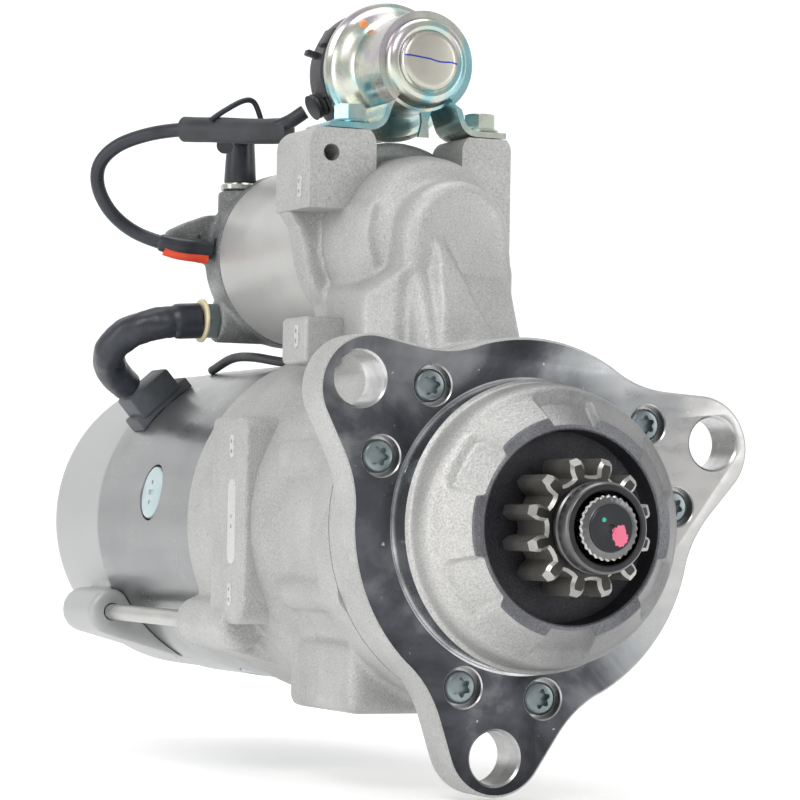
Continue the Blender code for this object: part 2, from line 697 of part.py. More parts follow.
def armature():
    sun = prism(stub_gear_outline(SUN_TEETH, FIRST_PLANET_ANGLE), GEARS_FRONT_Y, 131.0)
    shaft = lathe([
        (0, 126.0), (9.5, 126.0), (9.5, 142.0), (8.0, 144.0), (8.0, 268.0), (7.4, 268.6),
        (7.4, 288.0), (6.8, 288.6), (0, 288.6),
    ])
    add_piece("armature_shaft", join(sun, shaft), STEEL)
    add_piece("armature_core", lathe([
        (8.3, 144.6), (28.0, 144.6), (35.0, 152.0), (ARMATURE_R, 154.2),
        (ARMATURE_R, 224.0), (34.0, 228.0), (21.0, 235.4), (8.3, 235.4),
    ], 32), DARK_STEEL)
    add_piece("commutator", tube_ring(8.3, COMMUTATOR_R, 235.8, 266.0), COPPER)


def brush_gear():
    plate = tube_ring(24.0, 51.0, 243.0, 246.0, segments=32)
    holders = []
    channels = []
    for index in range(POLE_COUNT):
        turn = Matrix.Rotation(math.radians(-(BRUSH_ANGLE + 90.0 * index)), 4, "Y")
        holder = box((24.5, 245.0, -7.0), (40.0, BRUSH_Y + 9.5, 7.0))
        channel = box((15.0, BRUSH_Y - 7.4, -5.3), (45.0, BRUSH_Y + 7.4, 5.3))
        brush = box((COMMUTATOR_R + 0.4, BRUSH_Y - 7.0, -5.0), (36.0, BRUSH_Y + 7.0, 5.0))
        for solid in (holder, channel, brush):
            bmesh.ops.transform(solid, matrix=turn, verts=solid.verts)
        holders.append(holder)
        channels.append(channel)
        add_piece(f"brush_{index + 1}", brush, CARBON)
    add_piece("brush_holder", cut(join(plate, *holders), *channels), ZINC)


def end_frame():
    shell = lathe([
        (0, FRAME_REAR_Y + GAP), (FRAME_R - 0.3, FRAME_REAR_Y + GAP), (56.7, 262.0),
        (56.7, 290.5), (54.6, 295.0), (49.0, END_REAR_Y), (0, END_REAR_Y),
    ], LARGE)
    lugs = [cylinder(LUG_R, 228.0, 262.0, place, 16) for place in BOLT_PLACES]
    lugs += lug_webs(229.0, 261.0)
    hollow = lathe([
        (0, 200), (52.3, 200), (52.3, 285.0), (48.0, 290.5), (18.0, 290.5), (18.0, 277.0),
        (13.3, 277.0), (13.3, 293.0), (0, 293.0),
    ])
    frame_room = lathe([(0, 200), (FRAME_R + GAP, 200), (FRAME_R + GAP, FRAME_REAR_Y + GAP),
                        (0, FRAME_REAR_Y + GAP)], LARGE)
    solid = cut(join(shell, *lugs), hollow, frame_room)
    for place in BOLT_PLACES:
        solid = cut(solid, cylinder(BOLT_R + GAP, 220.0, 270.0, place, SMALL))
    add_piece("end_frame", solid, ALUMINIUM)
    add_piece("rear_bearing", tube_ring(7.7, 13.0, 279.0, 288.0), STEEL)


def through_bolts():
    for number, place in enumerate(BOLT_PLACES, 1):
        shank = cylinder(BOLT_R, 120.0, 264.0, place, SMALL)
        head = prism([polar(5.6, 60.0 * corner) for corner in range(6)], 262.3, 267.5,
                     Matrix.Translation((place[0], 0.0, place[1])))
        add_piece(f"through_bolt_{number}", join(shank, head), ZINC)


# ---------------------------------------------------------------- solenoid


def solenoid():
    axis = (0.0, SOLENOID_Z)
    add_piece("solenoid_case", lathe([
        (8.8, SOLENOID_FRONT_Y), (SOLENOID_R - 0.8, SOLENOID_FRONT_Y),
        (SOLENOID_R, SOLENOID_FRONT_Y + 0.8), (SOLENOID_R, SOLENOID_REAR_Y),
        (29.8, SOLENOID_REAR_Y), (29.8, 116.5), (8.8, 116.5),
    ], LARGE, axis), ALUMINIUM)
    add_piece("solenoid_coil", lathe([
        (13.6, 117.0), (29.4, 117.0), (29.4, 172.0), (2.7, 172.0), (2.7, 158.6), (13.6, 158.6),
    ], ROUND, axis), COPPER)
    rod = lathe([
        (0, 54.0), (7.0, 54.0), (8.0, 55.0), (8.0, 82.0), (12.6, 82.0), (12.6, 85.0),
        (8.0, 85.0), (8.0, 119.0), (13.0, 119.0), (13.0, 146.0), (0, 146.0),
    ], ROUND, axis)
    slot = box((-3.9, HOOK_Y - 4.9, 80.0), (3.9, HOOK_Y + 4.9, 112.0))
    add_piece("plunger", cut(rod, slot), STEEL)
    add_piece("contact_disc", lathe([
        (0, 161.0), (2.2, 161.0), (2.2, 186.0), (25.5, 186.0), (25.5, 188.0), (0, 188.0),
    ], ROUND, axis), COPPER)


def plunger_spring():
    turns = 4
    points_per_turn = 10
    start_y = 87.0
    end_y = 110.6
    coil_r = 10.9
    curve = bpy.data.curves.new("plunger_spring", "CURVE")
    curve.dimensions = "3D"
    curve.bevel_depth = 1.1 * MM
    curve.bevel_resolution = 1
    curve.use_fill_caps = True
    count = turns * points_per_turn + 1
    spline = curve.splines.new("POLY")
    spline.points.add(count - 1)
    for index, target in enumerate(spline.points):
        x, z = polar(coil_r, 360.0 * index / points_per_turn)
        y = start_y + (end_y - start_y) * index / (count - 1)
        target.co = (x * MM, y * MM, (SOLENOID_Z + z) * MM, 1.0)
    curve.materials.append(material_for("plunger_spring", STEEL))
    obj = bpy.data.objects.new("plunger_spring", curve)
    bpy.context.scene.collection.objects.link(obj)


def solenoid_cap():
    axis = (0.0, SOLENOID_Z)
    dish = lathe([
        (0, SOLENOID_REAR_Y + GAP), (SOLENOID_R, SOLENOID_REAR_Y + GAP), (SOLENOID_R, 199.0),
        (30.0, 204.5), (26.0, 208.0), (0, 208.0),
    ], 32, axis)
    battery_boss = box((-28.0, 188.5, 104.0), (-12.5, 203.5, 126.6))
    motor_boss = box((-29.0, 188.5, 65.5), (-10.0, 203.5, 81.0))
    spade_lug = prism([(-20, 112), (-33, 111), (-47.5, 105.5), (-48.5, 103.0), (-36, 94.5),
                       (-20, 94.5)], 194.0, 200.0)
    hollow = lathe([(0, 170), (28.6, 170), (28.6, 201.0), (0, 201.0)], ROUND, axis)
    solid = cut(join(dish, battery_boss, motor_boss, spade_lug), hollow)
    solid = cut(
        solid,
        bar_along_z([(0, 90), (4.8, 90), (4.8, 140), (0, 140)], *BATTERY_STUD),
        bar_along_x(4.8, -50.0, -4.0, STUD_Y, MOTOR_STUD_Z),
    )
    add_piece("solenoid_cap", solid, GREY_CAST)


def studs():
    turned = bar_along_z([(0, 100.0), (4.5, 100.0), (4.5, 133.0), (0, 133.0)], *BATTERY_STUD)
    nut = prism([polar(7.0, 60.0 * corner) for corner in range(6)], 127.0, 131.5,
                Matrix.Rotation(math.pi / 2.0, 4, "X"))
    bmesh.ops.translate(nut, vec=(*BATTERY_STUD, 0.0), verts=nut.verts)
    add_piece("battery_stud", join(turned, nut), COPPER)
    bar = bar_along_x(4.5, -34.5, -7.0, STUD_Y, MOTOR_STUD_Z)
    flat = Matrix.Rotation(math.pi / 2.0, 4, "Z")
    nut = prism([polar(7.0, 60.0 * corner) for corner in range(6)], 29.3, 33.5, flat)
    bmesh.ops.translate(nut, vec=(0.0, STUD_Y, MOTOR_STUD_Z), verts=nut.verts)
    add_piece("motor_stud", join(bar, nut), COPPER)


# ---------------------------------------------------------------- relay


def omega_outline():
    """The strap round the relay, flaring into its two feet, as one thin closed outline."""
    thickness = 2.0
    ring_r = 17.6
    foot_z = RELAY_FOOT_Z
    neck_angle = -52.0
    right = []
    for step in range(9):
        x, z = polar(ring_r, 90.0 + (neck_angle - 90.0) * step / 8.0)
        right.append((RELAY_X + x, RELAY_Z + z))
    right += [(18.2, 140.0), (18.0, 136.8), (19.2, foot_z + thickness), (36.0, foot_z + thickness)]
    right += [(36.0, foot_z), (17.4, foot_z), (15.6, 135.2), (15.4, 139.0)]
    x, z = polar(ring_r - thickness, neck_angle)
    right.append((RELAY_X + x, RELAY_Z + z))
    mirrored = [(2.0 * RELAY_X - px, pz) for px, pz in reversed(right[1:])]
    return right + mirrored


def relay():
    axis = (RELAY_X, RELAY_Z)
    can = lathe([
        (0, 77.6), (12.0, 77.6), (14.6, 80.0), (16.6, 82.4),
        (16.6, 104.0), (24.3, 111.0), (24.3, 114.4), (0, 114.4),
    ], 32, axis)
    hollow = lathe([(0, 84.0), (13.8, 84.0), (13.8, 120.0), (0, 120.0)], ROUND, axis)
    solid = cut(join(can, prism(omega_outline(), 80.5, 103.0)), hollow)
    for x, y in RELAY_BOLTS:
        solid = cut(solid, bar_along_z([(0, 130), (3.5, 130), (3.5, 137), (0, 137)], x, y))
    add_piece("relay_case", solid, ZINC)

    cap = lathe([
        (0, 114.8), (23.0, 114.8), (23.0, 129.0), (20.5, 133.0), (0, 133.0),
    ], ROUND, axis)
    bobbin = cylinder(13.3, 93.0, 118.0, axis)
    bore = cylinder(6.5, 80.0, 127.0, axis, SMALL)
    nozzle_turn = Matrix.Translation((RELAY_X, 124.0, RELAY_Z)) @ radial_turn(208.0)
    nozzle = cylinder(5.0, 15.0, 27.0, segments=SMALL)
    bmesh.ops.transform(nozzle, matrix=nozzle_turn, verts=nozzle.verts)
    add_piece("relay_cap", cut(join(cap, bobbin, nozzle), bore), BLACK_PLASTIC)
    add_piece("relay_plunger", lathe([
        (0, 88.0), (10.5, 88.0), (10.5, 90.0), (6.0, 90.4), (6.0, 118.0), (0, 118.0),
    ], SMALL, axis), STEEL)


def relay_bolts():
    foot_top = RELAY_FOOT_Z + 2.0
    for number, (x, y) in enumerate(RELAY_BOLTS, 1):
        body = bar_along_z([
            (0, 118.0), (3.0, 118.0), (3.0, foot_top + GAP), (6.6, foot_top + GAP),
            (6.4, foot_top + 1.6), (0, foot_top + 1.6),
        ], x, y)
        head = prism([polar(5.8, 60.0 * corner) for corner in range(6)], 0.0, 5.6,
                     Matrix.Rotation(math.pi / 2.0, 4, "X"))
        bmesh.ops.translate(head, vec=(x, y, foot_top + 1.0), verts=head.verts)
        add_piece(f"relay_bolt_{number}", join(body, head), ZINC)


# ---------------------------------------------------------------- leads


def leads():
    add_lead("motor_lead", MOTOR_LEAD_ROUTE, 5.8, 7.0, RUBBER, resolution=3)
    add_lead("switch_lead", SWITCH_LEAD_ROUTE, 2.5, 7.0, RUBBER)
    add_lead("battery_lead", BATTERY_LEAD_ROUTE, 3.0, 7.0, RUBBER)


def lead_grommet():
    """A stepped rubber block on the frame, with a neck through its hole."""
    turn = Matrix.Translation((0.0, GROMMET_Y, 0.0)) @ Matrix.Rotation(
        math.radians(90.0 - GROMMET_ANGLE), 4, "Y")
    plate = box((-14.0, -6.5, 52.0), (14.0, 6.5, 61.5))
    block = box((-12.0, -7.5, 60.0), (7.5, 7.5, 68.5))
    for solid in (plate, block):
        bmesh.ops.transform(solid, matrix=turn, verts=solid.verts)
    solid = cut(join(plate, block), cylinder(FRAME_R + GAP, 200, 250, segments=LARGE))
    neck = cylinder(6.6, 52.5, 60.0, segments=SMALL)
    neck_turn = Matrix.Translation((0.0, GROMMET_Y, 0.0)) @ radial_turn(GROMMET_ANGLE)
    bmesh.ops.transform(neck, matrix=neck_turn, verts=neck.verts)
    add_piece("lead_grommet", join(solid, neck), RUBBER)


def main():
    clear_scene()
    nose_housing()
    nose_screws()
    drive_bearing()
    pinion()
    pinion_stop()
    output_shaft()
    clutch_housing()
    planet_carrier()
    carrier_bearing()
    planet_gears()
    ring_gear()
    lever_housing()
    shift_lever()
    field_frame()
    pole_screws()
    pole_shoes()
    field_coils()
    armature()
    brush_gear()
    end_frame()
    through_bolts()
    solenoid()
    plunger_spring()
    solenoid_cap()
    studs()
    relay()
    relay_bolts()
    leads()
    lead_grommet()


main()
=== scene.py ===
"""Starter motor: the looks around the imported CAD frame.

Sizes below are millimetres in the row frame; a mesh is turned into metres as it becomes a piece.
The camera, the stage and the lights are in metres.
The shaft lies on Y with the pinion at -Y, the flange's mounting face is y = 0, and the solenoid
and the relay sit above the shaft, at +Z.
"""
import json
import math

import bmesh
import bpy
from mathutils import Matrix, Vector, noise

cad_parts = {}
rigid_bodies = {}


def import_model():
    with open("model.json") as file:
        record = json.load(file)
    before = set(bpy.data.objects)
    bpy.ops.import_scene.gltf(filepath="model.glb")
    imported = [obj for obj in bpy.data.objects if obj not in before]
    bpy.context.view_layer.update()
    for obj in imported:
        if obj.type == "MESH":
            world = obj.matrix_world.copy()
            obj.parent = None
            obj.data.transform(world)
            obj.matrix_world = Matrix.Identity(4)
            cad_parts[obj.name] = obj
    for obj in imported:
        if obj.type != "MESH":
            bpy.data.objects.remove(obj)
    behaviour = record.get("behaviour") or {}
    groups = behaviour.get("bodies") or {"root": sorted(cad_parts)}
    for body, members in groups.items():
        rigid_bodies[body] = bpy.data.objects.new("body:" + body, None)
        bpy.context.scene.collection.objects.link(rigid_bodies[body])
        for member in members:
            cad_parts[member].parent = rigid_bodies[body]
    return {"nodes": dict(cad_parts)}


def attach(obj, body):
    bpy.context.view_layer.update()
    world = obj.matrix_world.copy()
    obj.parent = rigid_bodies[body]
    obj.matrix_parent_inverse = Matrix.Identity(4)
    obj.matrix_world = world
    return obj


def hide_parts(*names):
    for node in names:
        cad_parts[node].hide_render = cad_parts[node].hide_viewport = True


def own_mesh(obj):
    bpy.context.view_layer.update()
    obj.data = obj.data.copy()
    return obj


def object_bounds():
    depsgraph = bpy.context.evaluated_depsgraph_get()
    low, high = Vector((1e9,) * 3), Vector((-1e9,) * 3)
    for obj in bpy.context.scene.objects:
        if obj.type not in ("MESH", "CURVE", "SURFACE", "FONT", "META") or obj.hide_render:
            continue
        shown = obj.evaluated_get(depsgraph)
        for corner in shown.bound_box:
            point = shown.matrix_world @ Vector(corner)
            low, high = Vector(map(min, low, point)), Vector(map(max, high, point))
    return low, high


MM = 0.001
FINE = 128
MEDIUM = 64
SMALL = 32
SMOOTH_ANGLE = 32.0
TURNING_SCALE = 2600.0 / 6.0

# Nose
PILOT_R = 46.0
PILOT_LENGTH = 8.8
EAR_ANGLES = (22.4, 142.4, 262.4)
EAR_CIRCLE_R = 73.0
EAR_HOLE_R = 8.5
EAR_TIP_CENTRE_R = 68.2
EAR_TIP_R = 17.1
EAR_FLANK_ANGLE = 26.0
FLANK_BLEND = 13.0
DISC_BLEND_ANGLE = 10.0
BLEND_STEPS = 16
DISC_STEPS = 20
FLANGE_DISC_R = 59.5
EAR_THICKNESS = 15.0
DISC_THICKNESS = 19.0
NOSE_FRONT_Y = -31.6
NOSE_MOUTH_R = 29.9
NOSE_FLOOR_Y = -21.5
NOSE_EDGE = 0.5
CONE_REAR_R = 41.2
CONE_LENGTH = 9.6
CONE_STEPS = 20
LOBE_R = 34.2
POCKET_RIM_R = 31.4
POCKET_HALF_ANGLE = 13.6
POCKET_WALL = 1.3
POCKET_END_ROUNDING = 0.22
POCKET_START_Y = -21.5
POCKET_DEPTH = 2.6
SCREW_CIRCLE_R = 54.5
SCREW_OFFSET_ANGLE = 15.0
COUNTERBORE_R = 6.4
COUNTERBORE_DEPTH = 5.0

# Drive
PINION_TEETH = 12
PINION_MODULE = 3.175
PINION_PHASE = 16.0
PINION_FRONT_Y = -44.0
PINION_REAR_Y = -25.0
SHAFT_R = 10.5
SHAFT_END_TEETH = 28

# Housings
HOUSING_FRONT_Y = DISC_THICKNESS + 0.3
HOUSING_REAR_Y = 138.0
HOUSING_RING_R = 60.5
FRAME_R = 57.3
FRAME_REAR_Y = 240.0
END_REAR_Y = 297.5
BOLT_PLACES = ((-55.0, -34.5), (55.0, 34.5))
BOLT_R = 3.0
LUG_R = 8.5
PAD_EDGE = 1.5
LUG_WEB = ((-57.3, -42.7), (-15.5, -54.5), (-10.0, -40.0), (-50.0, -28.0))
WEB_PLAN = ((-22.4, -50.0), (19.0, -50.0), (24.0, -60.0), (31.5, -84.0), (31.5, -111.5),
            (-26.0, -111.5), (-26.9, -82.0), (-30.8, -60.0))
CASTING_MARKS = ((-40.8, 90.0, 112.8), (-40.8, 90.2, 62.4), (-61.4, 94.8, 25.0),
                 (-61.4, 94.8, -24.3), (-61.2, 94.4, 0.0, 3.4, 14.2))
POLE_ANGLES = (170.0, 80.0, -10.0, -100.0)
POLE_Y = 185.7

# Solenoid, relay and leads
INK_HEIGHT = 0.1556
SOLENOID_Z = 96.6
SOLENOID_R = 32.4
SOLENOID_FRONT_Y = 112.3
SOLENOID_REAR_Y = 185.0
SPRING_TURNS = 4
SPRING_COIL_R = 10.9
SPRING_WIRE_R = 1.1
SPRING_FRONT_Y = 87.0
SPRING_REAR_Y = 110.6
LEVER_PIVOT = (70.0, 60.0)
RELAY_X = 1.5
RELAY_Z = 157.0
RELAY_FOOT_Z = 132.8
RIGHT_FOOT_END_X = 32.5
RELAY_BOLTS = ((-23.0, 90.0), (26.0, 90.0))
COLUMN_FRONT_Y = 82.0
COLUMN_TOP_Z = 132.4
BATTERY_STUD = (-20.0, 196.0)
MOTOR_STUD_Z = 73.2
STUD_Y = 196.0
GROMMET_ANGLE = 131.0
GROMMET_Y = 225.0

MOTOR_LEAD_ROUTE = (
    (-35.2, 196.0, 73.2), (-48.0, 197.5, 72.0), (-59.0, 202.5, 68.5), (-64.0, 210.0, 62.0),
    (-60.5, 219.0, 55.5), (-52.5, 224.4, 49.6),
)
SWITCH_LEAD_ROUTE = (
    (-25.2, 124.0, 142.8), (-31.0, 128.0, 138.6), (-37.5, 138.0, 137.0), (-46.0, 152.0, 138.0),
    (-54.5, 166.0, 139.0), (-64.0, 176.0, 137.6), (-72.3, 185.0, 133.8), (-76.6, 191.0, 127.5),
    (-75.6, 194.5, 119.5), (-70.0, 196.0, 111.0), (-61.0, 196.4, 104.6), (-51.0, 192.5, 100.6),
    (-42.0, 190.0, 99.2), (-33.6, 190.0, 98.4),
)
BATTERY_LEAD_ROUTE = (
    (-41.0, 158.8, 133.4), (-37.0, 168.0, 138.0), (-29.0, 181.0, 142.0), (-22.0, 192.0, 142.0),
    (-20.0, 196.0, 139.0), (-20.0, 196.0, 133.5),
)
SLEEVE_ROUTE = ((-29.0, 128.5, 136.4), (-37.5, 138.0, 136.6), (-46.0, 152.0, 138.0),
                (-54.0, 165.0, 139.0))
EARTH_LEAD_ROUTE = ((-15.0, 233.0, 56.9), (-15.0, 213.0, 60.6), (-15.0, 193.0, 60.4),
                    (-15.0, 160.0, 57.2), (-14.0, 142.0, 57.6))
THIN_WIRE_ROUTE = ((-50.0, 150.0, 141.0), (-45.0, 150.0, 144.6), (-38.0, 150.0, 148.6),
                   (-34.0, 150.0, 148.6), (-31.5, 150.0, 144.0), (-30.0, 150.0, 138.0))

# Camera and stage
CAMERA_PLACE = (-0.4505, -0.8751, 0.0011)
CAMERA_AZIMUTH = -24.9
CAMERA_ELEVATION = -2.21
CAMERA_ROLL = 1.0
CAMERA_LENS = 140.9
FLOOR_DROP = 0.0015
FLOOR_GLOW = 0.25
WORLD_STRENGTH = 0.62
LIGHT_TARGET = (0.0, 0.1, 0.03)
LIGHTS = (
    ("key", (-0.9, -0.9, 1.1), (0.7, 0.7), 9.0),
    ("side", (-1.6, 0.1, 0.4), (0.5, 1.2), 6.0),
    ("fill", (1.1, -0.9, 0.4), (0.5, 0.9), 3.5),
    ("top", (0.0, 0.3, 1.4), (1.0, 0.5), 6.0),
)


def polar(radius, degrees):
    """A point at a radius and an angle, as (x, z)."""
    angle = math.radians(degrees)
    return radius * math.cos(angle), radius * math.sin(angle)


def smoothstep(low, high, value):
    """0 up to low and 1 from high on, with a smooth run between them."""
    t = min(1.0, max(0.0, (value - low) / (high - low)))
    return t * t * (3.0 - 2.0 * t)


def angle_between(a, b):
    """The signed turn in degrees from b to a, the short way round."""
    return (a - b + 180.0) % 360.0 - 180.0


# ---------------------------------------------------------------- meshes


def lathe(profile, segments=MEDIUM, centre=(0.0, 0.0), matrix=None, shape=None):
    """Turn a closed (radius, y) profile about Y; shape(r, y, degrees) may move each point."""
    bm = bmesh.new()
    rings = []
    for radius, y in profile:
        if radius < 1e-6:
            rings.append([bm.verts.new((0.0, y, 0.0))])
            continue
        ring = []
        for step in range(segments):
            degrees = 360.0 * step / segments
            r, place_y = shape(radius, y, degrees) if shape else (radius, y)
            x, z = polar(r, degrees)
            ring.append(bm.verts.new((x, place_y, z)))
        rings.append(ring)
    for index, ring in enumerate(rings):
        following = rings[(index + 1) % len(rings)]
        if len(ring) == 1 and len(following) == 1:
            continue
        for step in range(segments):
            after = (step + 1) % segments
            if len(ring) == 1:
                bm.faces.new((ring[0], following[after], following[step]))
            elif len(following) == 1:
                bm.faces.new((ring[step], ring[after], following[0]))
            else:
                bm.faces.new((ring[step], ring[after], following[after], following[step]))
    if matrix is not None:
        bmesh.ops.transform(bm, matrix=matrix, verts=bm.verts)
    bmesh.ops.translate(bm, vec=(centre[0], 0.0, centre[1]), verts=bm.verts)
    bmesh.ops.recalc_face_normals(bm, faces=bm.faces)
    return bm


def rod(radius, low, high):
    """The closed profile of a plain cylinder."""
    return [(0, low), (radius, low), (radius, high), (0, high)]


def cylinder(radius, y0, y1, centre=(0.0, 0.0), segments=SMALL, edge=0.0):
    """A cylinder along Y, with a chamfer on both ends where edge is given."""
    if edge:
        profile = [(0, y0), (radius - edge, y0), (radius, y0 + edge), (radius, y1 - edge),
                   (radius - edge, y1), (0, y1)]
    else:
        profile = rod(radius, y0, y1)
    return lathe(profile, segments, centre)


def prism(outline, low, high, matrix=None):
    """Extrude an (x, z) outline along Y from low to high."""
    bm = bmesh.new()
    face = bm.faces.new([bm.verts.new((x, low, z)) for x, z in outline])
    extruded = bmesh.ops.extrude_face_region(bm, geom=[face])["geom"]
    moved = [item for item in extruded if isinstance(item, bmesh.types.BMVert)]
    bmesh.ops.translate(bm, vec=(0.0, high - low, 0.0), verts=moved)
    if matrix is not None:
        bmesh.ops.transform(bm, matrix=matrix, verts=bm.verts)
    bmesh.ops.recalc_face_normals(bm, faces=bm.faces)
    return bm


def box(low, high, edge=0.0):
    """A box between two corners, with rounded edges where edge is given."""
    outline = [(low[0], low[2]), (high[0], low[2]), (high[0], high[2]), (low[0], high[2])]
    bm = prism(outline, low[1], high[1])
    if edge:
        soften(bm, edge)
    return bm


def soften(bm, width, steps=2, angle=30.0):
    """Bevel every edge that is sharper than angle."""
    sharp = [e for e in bm.edges
             if len(e.link_faces) == 2 and e.calc_face_angle() > math.radians(angle)]
    bmesh.ops.bevel(bm, geom=sharp, offset=width, segments=steps, profile=0.5,
                    affect="EDGES", clamp_overlap=True)


def upright(profile, x, y, segments=SMALL):
    """Turn a closed (radius, z) profile about a vertical line through (x, y)."""
    bm = lathe(profile, segments, matrix=Matrix.Rotation(math.pi / 2.0, 4, "X"))
    bmesh.ops.translate(bm, vec=(x, y, 0.0), verts=bm.verts)
    return bm


def along_x(profile, y, z, segments=SMALL):
    """Turn a closed (radius, x) profile about a line along X through (y, z)."""
    bm = lathe(profile, segments, matrix=Matrix.Rotation(-math.pi / 2.0, 4, "Z"))
    bmesh.ops.translate(bm, vec=(0.0, y, z), verts=bm.verts)
    return bm


def turned_about_y(degrees, place):
    """The matrix that turns a shape about Y and then carries it to a place."""
    return Matrix.Translation(place) @ Matrix.Rotation(math.radians(degrees), 4, "Y")


def radial_turn(degrees):
    """The matrix that lays the Y axis along the radial direction at an angle in the XZ plane."""
    return (Matrix.Rotation(math.radians(90.0 - degrees), 4, "Y")
            @ Matrix.Rotation(math.pi / 2.0, 4, "X"))


def moved(bm, matrix):
    bmesh.ops.transform(bm, matrix=matrix, verts=bm.verts)
    return bm


def mesh_from(bm, name):
    """The bmesh as mesh data; the bmesh is freed."""
    mesh = bpy.data.meshes.new(name)
    bm.to_mesh(mesh)
    bm.free()
    return mesh


def new_object(name, data):
    """An object for mesh, light or camera data, linked into the scene."""
    obj = bpy.data.objects.new(name, data)
    bpy.context.scene.collection.objects.link(obj)
    return obj


def merged(parts):
    """One bmesh holding every part's shell, without joining them."""
    whole = bmesh.new()
    for part in parts:
        mesh = mesh_from(part, "part")
        whole.from_mesh(mesh)
        bpy.data.meshes.remove(mesh)
    return whole


def scratch(bm):
    """A short-lived object to run modifiers on."""
    return new_object("scratch", mesh_from(bm, "scratch"))


def read_back(obj):
    """The object's mesh with its modifiers, as a new bmesh; the object is removed."""
    bpy.context.view_layer.update()
    bm = bmesh.new()
    bm.from_object(obj, bpy.context.evaluated_depsgraph_get())
    bpy.data.objects.remove(obj, do_unlink=True)
    return bm


def combine(base, tools, operation):
    """Run an exact Boolean with each tool in turn."""
    for tool in tools:
        target = scratch(base)
        cutter = scratch(tool)
        modifier = target.modifiers.new("combine", "BOOLEAN")
        modifier.operation = operation
        modifier.solver = "EXACT"
        modifier.object = cutter
        base = read_back(target)
        bpy.data.objects.remove(cutter, do_unlink=True)
    return base


def join(base, *tools):
    return combine(base, tools, "UNION")


def cut(base, *tools):
    return combine(base, tools, "DIFFERENCE")


def cast(parts, voxel, rounds, factor=0.5):
    """Run overlapping solids together into one casting with fillets in its corners."""
    obj = scratch(merged(parts))
    remesh = obj.modifiers.new("remesh", "REMESH")
    remesh.mode = "VOXEL"
    remesh.voxel_size = voxel
    smooth = obj.modifiers.new("smooth", "SMOOTH")
    smooth.factor = factor
    smooth.iterations = rounds
    return read_back(obj)


def make_piece(name, bm, materials, body, replaces=(), choose=None, angle=SMOOTH_ANGLE):
    """Turn a bmesh into a shown piece; choose(centre, normal) picks a material by its index."""
    bmesh.ops.remove_doubles(bm, verts=bm.verts, dist=1e-4)
    bm.normal_update()
    for face in bm.faces:
        face.smooth = True
        face.material_index = choose(face.calc_center_median(), face.normal) if choose else 0
    bmesh.ops.scale(bm, vec=(MM, MM, MM), verts=bm.verts)
    mesh = mesh_from(bm, name)
    mesh.set_sharp_from_angle(angle=math.radians(angle))
    for material in materials:
        mesh.materials.append(material)
    obj = new_object(name, mesh)
    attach(obj, body)
    if replaces:
        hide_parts(*replaces)
    return obj


def smooth_route(points, spacing):
    """Points about every spacing along a Catmull-Rom curve through the route's own points."""
    knots = [Vector(point) for point in points]
    knots = [2 * knots[0] - knots[1]] + knots + [2 * knots[-1] - knots[-2]]
    route = []
    for index in range(1, len(knots) - 2):
        before, start, end, after = knots[index - 1:index + 3]
        steps = max(1, round((end - start).length / spacing))
        for step in range(steps):
            t = step / steps
            route.append(0.5 * (
                2 * start + (end - before) * t
                + (2 * before - 5 * start + 4 * end - after) * t ** 2
                + (3 * start - before - 3 * end + after) * t ** 3
            ))
    route.append(knots[-2])
    return route


def route_length(points):
    """The length of the straight runs between a route's points."""
    return sum((Vector(b) - Vector(a)).length for a, b in zip(points, points[1:]))


def steady(radius):
    """The same radius all along a sweep and all round it."""
    return lambda length, turn: radius


def sweep(points, radius_at, spacing=1.0, sides=24):
    """A closed tube along a smooth route; radius_at(length, turn) gives its radius."""
    route = smooth_route(points, spacing)
    bm = bmesh.new()
    rings = []
    length = 0.0
    tangent = (route[1] - route[0]).normalized()
    side = tangent.orthogonal().normalized()
    for index, place in enumerate(route):
        if index:
            length += (place - route[index - 1]).length
        ahead = route[min(index + 1, len(route) - 1)]
        behind = route[max(index - 1, 0)]
        tangent = (ahead - behind).normalized()
        side = (side - tangent * side.dot(tangent)).normalized()
        other = tangent.cross(side)
        ring = []
        for step in range(sides):
            turn = 2.0 * math.pi * step / sides
            radius = radius_at(length, turn)
            ring.append(bm.verts.new(
                place + side * (radius * math.cos(turn)) + other * (radius * math.sin(turn))))
        rings.append(ring)
    for ring, following in zip(rings, rings[1:]):
        for step in range(sides):
            after = (step + 1) % sides
            bm.faces.new((ring[step], ring[after], following[after], following[step]))
    bm.faces.new(rings[0])
    bm.faces.new(rings[-1])
    bmesh.ops.recalc_face_normals(bm, faces=bm.faces)
    return bm


# ---------------------------------------------------------------- materials


